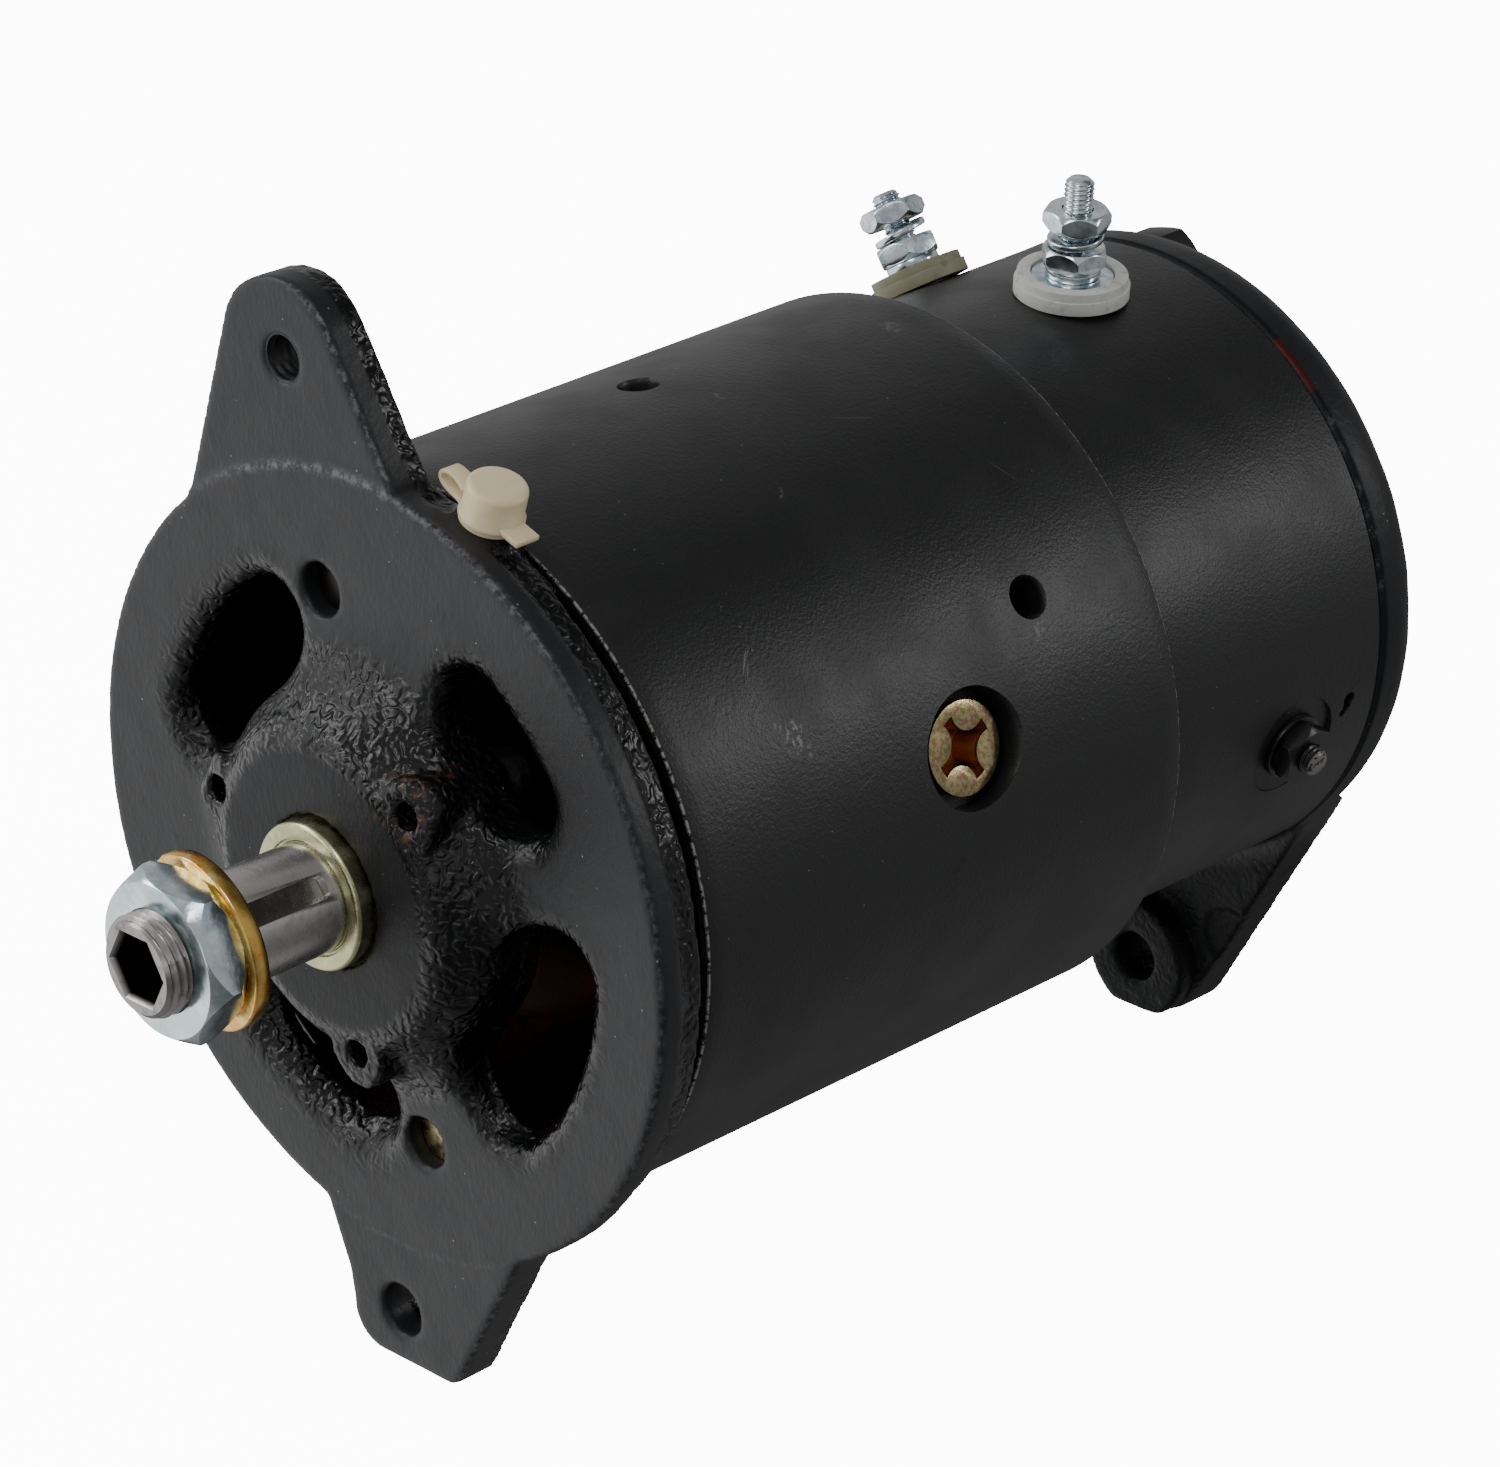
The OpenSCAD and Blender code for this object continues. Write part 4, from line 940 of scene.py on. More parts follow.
def softened(
    node: str, body: Body | None, slot: str, width: float, segments: int = 2, angle: float = 28.0,
    sharp: float = 32.0, look: Optional[Finish] = None,
) -> bpy.types.Object:
    """A copy of a CAD node with rounded edges, which stands for the node.

    Args:
        node: The CAD node.
        body: Its body, or None for a piece that rides no body.
        slot: Its material slot.
        width: Size of the rounding.
        segments: Faces across the rounding.
        angle: Edges sharper than this many degrees are rounded.
        sharp: Edges sharper than this many degrees stay crisp in light.
        look: A finish other than the slot's own.

    Returns:
        The new object.
    """
    mesh = Mesh(welded_copy(node)).bevel(width, angle, segments)
    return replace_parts(mesh.finish(node + "_shown", body, slot, sharp, look), node)


# Castings


def rise(values: np.ndarray, start: float, width: float) -> np.ndarray:
    """0 before a start, 1 a width past it, and a straight rise between. A negative width turns it round."""
    return np.clip((values - start) / width, 0, 1)


def line(values: np.ndarray, place: float, width: np.ndarray | float) -> np.ndarray:
    """1 at a place, with a soft fall of a width to each side."""
    return np.exp(-(((values - place) / width) ** 2))


def around(co: np.ndarray) -> tuple[np.ndarray, np.ndarray]:
    """Distance of each point from the shaft's axis, and its degrees about the shaft."""
    return np.hypot(co[:, 0], co[:, 2]), np.degrees(np.arctan2(co[:, 0], co[:, 2]))


def waves(co: np.ndarray, size: float, seed: float) -> np.ndarray:
    """A smooth, repeatable lumpiness between -1 and 1 at each point."""
    total = np.zeros(len(co))
    directions = ((1.0, 0.31, 0.57), (-0.42, 1.0, 0.23), (0.36, -0.51, 1.0), (0.71, 0.64, -0.8))
    for k, direction in enumerate(directions):
        total += np.sin((co @ np.array(direction)) * TURN / (size * (1 + 0.23 * k)) + seed * (k + 1))
    return total / len(directions)


@dataclass(frozen=True)
class Window:
    """An opening in the end plate, with the width of its rolled lip on each side."""

    start: float
    end: float
    inner: float
    lip: float
    outer: float = 46.0
    corner: float = 7.5

    def distance(self, co: np.ndarray) -> np.ndarray:
        """Distance of points from the opening's edge, negative inside."""
        x, z = co[:, 0], co[:, 2]
        r = np.hypot(x, z)
        middle = math.radians((self.start + self.end) / 2)
        turn = (np.arctan2(x, z) - middle + math.pi) % TURN - math.pi
        half = math.radians(self.end - self.start) / 2
        u = np.abs(turn) * r - (half * r - self.corner)
        v = np.abs(r - (self.inner + self.outer) / 2) - ((self.outer - self.inner) / 2 - self.corner)
        outside = np.hypot(np.maximum(u, 0), np.maximum(v, 0))
        return outside + np.minimum(np.maximum(u, v), 0) - self.corner


@dataclass
class Casting:
    """A cast CAD node reworked into one even skin: rounded edges, lumps and a painted raw mask."""

    node: str
    voxel: float
    relax: int = 2
    lump: float = 0.12
    ripple: float = 0.07

    def skin(self) -> bpy.types.Mesh:
        """Remeshes a copy of the node into even quads, in millimetres."""
        bm = welded_copy(self.node)
        data = bpy.data.meshes.new(self.node + "_skin")
        bm.to_mesh(data)
        bm.free()
        obj = link(self.node + "_skin", data)
        remesh = obj.modifiers.new("even", "REMESH")
        remesh.mode = "VOXEL"
        remesh.voxel_size = self.voxel
        smooth = obj.modifiers.new("relax", "SMOOTH")
        smooth.factor = 0.5
        smooth.iterations = self.relax
        made = evaluated(obj)
        bpy.data.objects.remove(obj)
        return made

    @staticmethod
    def points(data: bpy.types.Mesh) -> tuple[np.ndarray, np.ndarray]:
        """The mesh's points and their normals."""
        co = np.empty(len(data.vertices) * 3)
        no = np.empty(len(data.vertices) * 3)
        data.vertices.foreach_get("co", co)
        data.vertices.foreach_get("normal", no)
        return co.reshape(-1, 3), no.reshape(-1, 3)

    @staticmethod
    def paint(data: bpy.types.Mesh, name: str, values: np.ndarray) -> None:
        """Stores one value for each point."""
        data.attributes.new(name, "FLOAT", "POINT").data.foreach_set("value", values.astype(np.float32))

    def close(self, data: bpy.types.Mesh, co: np.ndarray) -> bpy.types.Object:
        """Writes the points back and registers the piece."""
        data.vertices.foreach_set("co", (co * MM).ravel())
        data.update()
        obj = register(data, self.node + "_shown", Body.STATOR, "black_cast_iron", 180.0)
        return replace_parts(obj, self.node)


@dataclass
class DriveEndFrame(Casting):
    """The cast end plate with its hub, four windows and two ears."""

    node: str = "drive_end_frame"
    voxel: float = 0.72
    plate_y: float = 12.4
    hub_y: float = 2.8
    plate_r: float = 61.75
    skirt_r: float = 21.0
    skirt_width: float = 20.0
    lip_fade: float = 7.0
    lip_skin: float = 10.0
    ledge_y: float = 4.6
    ledge: float = 0.7
    band_y: float = 16.9
    inside_y: float = 18.0
    upper_ear_hole: Point2 = (-13.9, 76.0)
    lower_ear_hole: Point2 = (0.0, -73.6)
    boss_angle: float = 44.0
    boss_r: float = 25.6
    boss: float = 4.2
    windows: tuple[Window, ...] = (
        Window(-80, -22, 30, 4.2), Window(28, 66, 31, 4.0), Window(87, 147, 29, 4.0), Window(180, 227, 29, 5.5)
    )

    def front(self, r: np.ndarray) -> np.ndarray:
        """Height of the front surface at a distance from the shaft, hub skirt included."""
        skirt = rise(r, self.skirt_r, self.skirt_width)
        return self.hub_y + (self.plate_y - self.hub_y) * np.clip(skirt * (2 - skirt), 0, 1)

    def build(self) -> bpy.types.Object:
        """Makes the shown end plate."""
        data = self.skin()
        co, normal = self.points(data)
        r, _ = around(co)
        lips = self.roll_lips(co, r)
        self.raise_ledges(co, normal)
        skirt = rise(co[:, 1], self.plate_y - 0.25, -1.0) * rise(r, 20.5, 2.0)
        band = rise(co[:, 1], self.band_y, 0.5) * (r > 50)
        raw = np.clip(np.maximum.reduce([lips, skirt, band, rise(co[:, 1], self.inside_y, 0.5)]), 0, 1)
        lumps = waves(co, 9.0, 0.7) * self.lump + waves(co, 3.4, 2.1) * self.ripple
        co += normal * lumps[:, None] * np.clip(raw, 0.12, 1)[:, None]
        machined = (np.abs(co[:, 1] - self.plate_y) < 0.6) & (raw < 0.2)
        co[machined, 1] += waves(co[machined], 14.0, 1.3) * 0.05
        self.paint(data, "raw", raw)
        # Rubbed edges, which also carry a painted highlight along the rim and the ears
        self.paint(data, "wear_and_highlight", np.clip(np.maximum(self.rim_wear_and_highlight(co), self.ear_edge_wear_and_highlight(co, normal)), 0, 1))
        self.paint(data, "bare", self.boss_flecks(co))
        # Hardly any light reaches the bearing's recess
        self.paint(data, "shaded", 0.4 * (co[:, 1] < 6.0) * rise(r, 22.5, -2))
        return self.close(data, co)

    def roll_lips(self, co: np.ndarray, r: np.ndarray) -> np.ndarray:
        """Rounds the plate over into each window.

        Args:
            co: The points, which are moved.
            r: Their distances from the shaft's axis.

        Returns:
            How raw the skin is on the lips.
        """
        raw, shift = np.zeros(len(co)), np.zeros(len(co))
        depth = np.clip((co[:, 1] - self.front(r)) / self.lip_fade, 0, 1)
        for window in self.windows:
            d = window.distance(co)
            t = np.clip(d / window.lip, 0, 1)
            drop = window.lip * 0.8 * (1 - np.sqrt(np.clip(1 - (1 - t) ** 2, 0, 1)))
            near = (d > -1.0) & (d < window.lip) & (co[:, 1] < self.plate_y + self.lip_fade)
            shift = np.where(near, np.maximum(shift, drop), shift)
            skin = np.clip(1.25 - d / (window.lip * 1.15), 0, 1)
            raw = np.maximum(raw, np.where(co[:, 1] < self.plate_y + self.lip_skin, skin, 0))
        co[:, 1] += shift * (1 - depth)
        return raw

    def raise_ledges(self, co: np.ndarray, normal: np.ndarray) -> None:
        """Raises the mould's parting line on the walls of the two lower windows.

        Args:
            co: The points, which are moved.
            normal: Their normals.
        """
        ledge = np.zeros(len(co))
        parting = line(co[:, 1], self.plate_y + self.ledge_y, 0.55)
        for window in self.windows[2:]:
            ledge = np.maximum(ledge, np.where(np.abs(window.distance(co)) < 1.0, parting, 0))
        co += normal * (self.ledge * ledge)[:, None]

    def boss_flecks(self, co: np.ndarray) -> np.ndarray:
        """Bare flecks round the boss at the upper right of the hub."""
        a = math.radians(self.boss_angle)
        off = np.hypot(co[:, 0] - self.boss_r * math.sin(a), co[:, 2] - self.boss_r * math.cos(a))
        flecks = np.clip(waves(co, 1.7, 3.0) * 3 - 1.0, 0, 1)
        return flecks * (co[:, 1] < self.plate_y) * np.clip(1 - np.abs(off - self.boss) / 1.6, 0, 1)

    def rim_wear_and_highlight(self, co: np.ndarray) -> np.ndarray:
        """Wear along the plate's front edge, with a painted highlight on it: broad at the top, a thin line on
        the right, faint elsewhere.
        """
        r, a = around(co)
        top = rise(a, -35, 15) * rise(a, 48, -14)
        right = rise(a, 30, 10) * rise(a, 150, -10)
        edge = line(r, self.plate_r - 0.1, 0.35 + 0.25 * top) * line(co[:, 1], self.plate_y, 0.5 + 0.3 * top)
        return edge * (0.12 + 0.5 * top + 0.5 * right * (1 - top))

    def ear_edge_wear_and_highlight(self, co: np.ndarray, normal: np.ndarray) -> np.ndarray:
        """Wear and a painted highlight along the front edges of the two ears, but not round their holes.

        Args:
            co: The points.
            normal: Their normals.

        Returns:
            The wear and painted highlight at each point.
        """
        r, _ = around(co)
        # Painted highlight on edges that face forward and to the right, stronger on the upper ear
        slanted = (normal[:, 1] < -0.3) & (normal[:, 1] > -0.85) & (normal[:, 0] > 0.2)
        front = (co[:, 1] < self.plate_y + 3.0) & (r > self.plate_r + 1.5)
        (ux, uz), (lx, lz) = self.upper_ear_hole, self.lower_ear_hole
        clear = (np.hypot(co[:, 0] - ux, co[:, 2] - uz) > 5.5) & (np.hypot(co[:, 0] - lx, co[:, 2] - lz) > 6.2)
        return np.where(slanted & front & clear, np.where(co[:, 2] > 0, 0.6, 0.4), 0.0)


@dataclass
class TappedHole:
    """The thread inside the adjusting ear's hole, as a thin sleeve in the casting."""

    x: float = -13.9
    z: float = 76.0
    start: float = 13.5
    end: float = 20.4
    radius: float = 3.6
    depth: float = 0.42
    pitch: float = 1.411
    wall: float = 0.25
    fade: float = 0.5
    steps: int = 48
    rings: int = 60

    def build(self) -> bpy.types.Object:
        """Makes the sleeve."""
        rows = []
        for k in range(self.rings + 1):
            y = self.start + (self.end - self.start) * k / self.rings
            shown = min(1.0, (y - self.start) / self.fade, (self.end - y) / self.fade)
            flanks = [abs(2 * ((y / self.pitch - i / self.steps) % 1.0) - 1) for i in range(self.steps)]
            rows.append(self.ring(y, [self.radius - 0.02 - self.depth * wave * shown for wave in flanks]))
        rows += [self.ring(y, [self.radius + self.wall] * self.steps) for y in (self.end, self.start)]
        mesh = Mesh().grid([*rows, rows[0]], caps=False)
        bmesh.ops.remove_doubles(mesh.bm, verts=mesh.bm.verts, dist=1e-5)
        return mesh.finish("adjusting_ear_thread", Body.STATOR, "black_cast_iron", 60.0)

    def ring(self, y: float, radii: Sequence[float]) -> list[Vector]:
        """Points round the hole at a place along it."""
        angles = [TURN * i / self.steps for i in range(self.steps)]
        return [Vector((self.x + r * math.cos(a), y, self.z + r * math.sin(a))) for r, a in zip(radii, angles)]


@dataclass
class CommutatorEndFrame(Casting):
    """The cast end cover with its rear pivot ear."""

    node: str = "commutator_end_frame"
    voxel: float = 0.8
    relax: int = 3
    lump: float = 0.14
    ripple: float = 0.06
    ear_r: float = 53.0
    rear_y: float = 183.0
    ear_top: float = -42.0
    rim_r: float = 50.5
    seam_y: float = 177.6
    groove_y: float = 178.0
    rearmost: float = 196.35

    def build(self) -> bpy.types.Object:
        """Makes the shown end cover."""
        data = self.skin()
        co, normal = self.points(data)
        r, _ = around(co)
        ear = rise(r, self.ear_r, 3.0)
        rear = rise(co[:, 1], self.rear_y, 2.0)
        raw = np.clip(np.maximum.reduce([0.5 * ear, 0.5 * rear, np.full(len(co), 0.3)]), 0, 1)
        # The rim above the ear is turned smooth
        raw = np.where((co[:, 2] > self.ear_top) & (co[:, 1] < self.rear_y), 0.08, raw)
        lumps = waves(co, 8.0, 0.4) * self.lump + waves(co, 3.1, 1.7) * self.ripple
        co += normal * lumps[:, None] * np.clip(raw, 0.1, 1)[:, None]
        self.paint(data, "raw", raw)
        _, a = around(co)
        seam = line(co[:, 1], self.seam_y, 0.5) * (r > self.rim_r)
        groove = line(co[:, 1], self.groove_y, 0.7) * (r > self.rim_r)
        # Painted shade: less reflection over the whole cover and less still on the rear ear; the seam's groove
        # is a dull dark line
        self.paint(data, "shaded", np.maximum(0.3 + 0.5 * ear, groove))
        # Ragged painted highlights along the seam on the right
        ragged = np.clip(waves(co, 2.3, 5.0) * 2, 0, 1)
        self.paint(data, "wear_and_highlight", 0.5 * seam * ragged * ((a > 50) & (a < 85)))
        self.paint(data, "sealant", seam * ((a > 34) & (a < 45)))
        co[:, 1] = np.minimum(co[:, 1], self.rearmost)
        return self.close(data, co)


# Field frame


@dataclass(frozen=True)
class Hole:
    """A hole in the tube: angle, place along the shaft, radius of its foot, its own radius, and its flare."""

    angle: float
    y: float
    foot: float
    radius: float
    flare: float


@dataclass
class FieldFrame:
    """The stepped steel tube, turned in one piece and drilled."""

    front: float = 25.9
    step: float = 124.5
    rear: float = 176.9
    outer: float = 57.15
    neck: float = 51.8
    bore: float = 47.6
    through: float = 44.0
    blank_hole: float = 46.0
    drill_top: float = 57.4
    neck_drill_top: float = 52.2
    spot_foot: float = 51.0
    pole_angle: float = 77.0
    pole_y: float = 81.9
    counterbore: float = 5.5

    def build(self) -> bpy.types.Object:
        """Makes the shown tube."""
        blank = Mesh().lathe(self.profile(), ALONG_SHAFT, steps=240)
        drills = [self.drill(hole) for hole in self.holes()]
        data = drilled(link("field_frame_blank", blank.data("field_frame_blank")), drills)
        shown = register(data, "field_frame_shown", Body.STATOR, "black_painted_steel", 30.0)
        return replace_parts(shown, "field_frame")

    def profile(self) -> list[Point2]:
        """The tube's outline of radius and place along the shaft, with its edges broken."""
        c = 0.5
        tube = [(self.outer, float(y)) for y in np.linspace(self.front + 0.7, self.step - 0.5, 33)]
        neck = [(self.neck, float(y)) for y in np.linspace(self.step + 0.3, self.rear - 0.4, 18)]
        front = [(self.bore, self.front + c), (self.bore + c, self.front), (self.outer - 0.7, self.front)]
        edge = [(self.outer - 0.15, self.step - 0.15), (self.outer - 0.5, self.step)]
        step = [*edge, (self.neck + 0.3, self.step)]
        rear = [(self.neck - 0.4, self.rear), (self.bore, self.rear)]
        return [*front, (self.outer - 0.2, self.front + 0.2), *tube, *step, *neck, *rear]

    def holes(self) -> list[Hole]:
        """The holes of the tube, the terminals with their slot, and the pole screws."""
        found = [
            Hole(-5.2, 73.6, self.through, 3.0, 0.5),
            Hole(59.1, 100.2, self.through, 3.0, 0.7),
            Hole(6.7, 155.4, self.through, 4.4, 0.3),
            Hole(-31.0, 155.4, self.through, 4.4, 0.3),
            Hole(106.0, 158.4, self.through, 2.55, 0.2),
            Hole(106.0, 158.4, self.spot_foot, 8.6, 0.5),
            Hole(101.0, 170.5, self.blank_hole, 1.15, 0.1),
            Hole(102.4, 170.2, self.blank_hole, 0.85, 0.1),
            Hole(103.5, 169.4, self.blank_hole, 0.6, 0.1),
        ]
        for a in (self.pole_angle, self.pole_angle + 180):
            found.append(Hole(a, self.pole_y, self.through, 4.9, 0.2))
            found.append(Hole(a, self.pole_y, self.outer - self.counterbore, 9.15, 0.9))
        return found

    def drill(self, hole: Hole) -> bpy.types.Object:
        """What is cut away for a hole, wider towards the surface so that its edge is broken."""
        top = self.drill_top if hole.y < self.step else self.neck_drill_top
        wide = hole.radius + hole.flare
        if hole.foot == self.spot_foot:
            wall = [(wide, top + 1), (wide, 70), (0, 70)]
        else:
            edge = [(hole.radius, top - 0.6 - hole.flare), (hole.radius + hole.flare * 0.35, top - 0.6)]
            wall = [*edge, (wide, top), (wide + 3, 62), (0, 62)]
        profile = [(0, hole.foot), (hole.radius, hole.foot), *wall]
        return link("drill", Mesh().lathe(profile, radial(hole.angle, hole.y), steps=64).data("drill"))


# Shaft


@dataclass
class ShaftEnd:
    """The pulley end of the shaft: its thread, keyed seat, nut, lock washer and collar."""

    end: float = -31.6
    thread_end: float = -16.6
    major: float = 7.94
    pitch: float = 1.411
    depth: float = 0.72
    socket_af: float = 9.5
    socket_depth: float = 12.0
    overlap: float = 1.6
    washer_y: float = -18.55
    washer_tilt: float = 4.5

    def build(self) -> None:
        """Makes the shaft's shown pieces and the hardware on it."""
        self.thread()
        self.seat()
        self.washer()
        softened("shaft_nut", Body.ARMATURE, "blue_zinc", 0.16, 2, 17, 16)
        softened("spacer_collar", Body.ARMATURE, "pale_yellow_zinc", 0.25, 2, 50)

    def thread(self) -> bpy.types.Object:
        """The threaded end with its hex socket."""
        start = self.thread_end - 0.02
        place = Matrix.Translation((0, start, 0)) @ Matrix.Rotation(math.pi / 2, 4, "X")
        rod = Mesh().thread(place, self.major, self.depth, self.pitch, start - self.end, 1.1, 96)
        corner = self.socket_af / math.sqrt(3)
        mouth = [self.hexagon(corner + 1.3, self.end - 0.6), self.hexagon(corner + 0.7, self.end)]
        walls = [self.hexagon(corner, self.end + 0.7), self.hexagon(corner, self.end + self.socket_depth)]
        drill = link("socket_drill", Mesh().grid([*mouth, *walls]).data("socket_drill"))
        data = drilled(link("shaft_thread", rod.data("shaft_thread")), [drill])
        return register(data, "shaft_thread_shown", Body.ARMATURE, "ground_shaft_steel", 42.0, THREAD_STEEL)

    @staticmethod
    def hexagon(r: float, y: float) -> list[Vector]:
        """Corners of a hexagon across the shaft."""
        angles = [math.radians(60 * i) for i in range(6)]
        return [Vector((r * math.cos(a), y, r * math.sin(a))) for a in angles]

    def seat(self) -> bpy.types.Object:
        """The rest of the shaft, from the pulley seat to the rear journal."""
        bm = welded_copy("shaft")
        whole = bm.verts[:] + bm.edges[:] + bm.faces[:]
        plane = {"plane_co": (0, self.thread_end - self.overlap, 0), "plane_no": (0, -1, 0)}
        cut = bmesh.ops.bisect_plane(bm, geom=whole, clear_outer=True, **plane)
        rim = [e for e in cut["geom_cut"] if isinstance(e, bmesh.types.BMEdge)]
        bmesh.ops.holes_fill(bm, edges=rim)
        mesh = Mesh(bm).bevel(0.22, 40, 2)
        made = mesh.finish("shaft_shown", Body.ARMATURE, "ground_shaft_steel", 35.0)
        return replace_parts(made, "shaft")

    def washer(self) -> bpy.types.Object:
        """The loose split lock washer, one helical turn with its ends apart."""
        mesh = split_ring(13.7, 8.25, 2.75, rise_by=1.3, split=239, gap=5.0, rounding=0.42)
        tilt = Matrix.Rotation(math.radians(self.washer_tilt), 4, (math.cos(0.9), 0, -math.sin(0.9)))
        mesh.moved(Matrix.Translation((0, self.washer_y, 0)) @ tilt @ ALONG_SHAFT)
        obj = mesh.finish("shaft_lock_washer_shown", Body.ARMATURE, "gold_zinc", 50.0)
        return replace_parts(obj, "shaft_lock_washer")


def split_ring(
    outer: float, inner: float, height: float, rise_by: float, split: float, gap: float, rounding: float,
    steps: int = 96,
) -> Mesh:
    """A split spring washer about +Z, centred on the origin.

    Args:
        outer: Outer radius.
        inner: Inner radius.
        height: Thickness of its wire along the axis.
        rise_by: How far one end stands above the other.
        split: Angle of the split in degrees.
        gap: Width of the split in degrees.
        rounding: Radius of the wire's corners.
        steps: Sections round the ring.

    Returns:
        The mesh, in millimetres.
    """
    half_w, half_h, middle = (outer - inner) / 2, height / 2, (outer + inner) / 2
    section = []
    for cx, cz, start in ((1, 1, 0), (-1, 1, 90), (-1, -1, 180), (1, -1, 270)):
        for k in range(4):
            a = math.radians(start + 30 * k)
            u = cx * (half_w - rounding) + rounding * math.cos(a)
            section.append((u, cz * (half_h - rounding) + rounding * math.sin(a)))
    rows = []
    for i in range(steps + 1):
        share = i / steps
        a = math.radians(split + gap / 2 + (360 - gap) * share)
        lift = rise_by * (share - 0.5)
        ring = [((middle + u) * math.cos(a), (middle + u) * math.sin(a), w + lift) for u, w in section]
        rows.append([Vector(point) for point in ring])
    return Mesh().grid(rows)


# Terminals


@dataclass
class Terminal:
    """One terminal stud on the neck, with its insulators and spring washer."""

    name: str
    angle: float
    height: float
    fibre: str
    y: float = 155.4
    neck: float = 51.8
    sunk: float = 9.0
    washer: float = 9.6

    def build(self) -> None:
        """Makes the insulators, the thread and the spring washer of this terminal."""
        softened(f"{self.name}_insulators", Body.STATOR, self.fibre, 0.3, 3, 40)
        foot = radial(self.angle, self.y, self.neck - self.sunk)
        stud = Mesh().thread(foot, 2.38, 0.36, 0.8, self.height + self.sunk, 0.7, 40)
        shown = stud.finish(f"{self.name}_stud_shown", Body.STATOR, "bright_zinc", 60.0)
        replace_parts(shown, f"{self.name}_stud")
        ring = split_ring(4.5, 2.75, 1.15, rise_by=1.25, split=150, gap=14, rounding=0.3, steps=48)
        tilt = Matrix.Rotation(math.radians(5), 4, "X")
        ring.moved(radial(self.angle, self.y, self.neck + self.washer) @ tilt)
        spring = ring.finish(f"{self.name}_spring_washer_shown", Body.STATOR, "bright_zinc", 50.0)
        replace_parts(spring, "terminal_lock_washers")


@dataclass
class GroundTerminal:
    """The painted stud low on the neck."""

    angle: float = 106.0
    y: float = 158.4
    neck: float = 51.8
    sunk: float = 7.0
    height: float = 5.6

    def build(self) -> bpy.types.Object:
        """Makes the painted stud's thread."""
        foot = radial(self.angle, self.y, self.neck - self.sunk)
        mesh = Mesh().thread(foot, 2.38, 0.32, 0.8, self.sunk + self.height, 0.6, 40)
        made = mesh.finish("ground_stud_shown", Body.STATOR, "black_painted_hardware", 60.0)
        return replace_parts(made, "ground_stud")


# Oiler


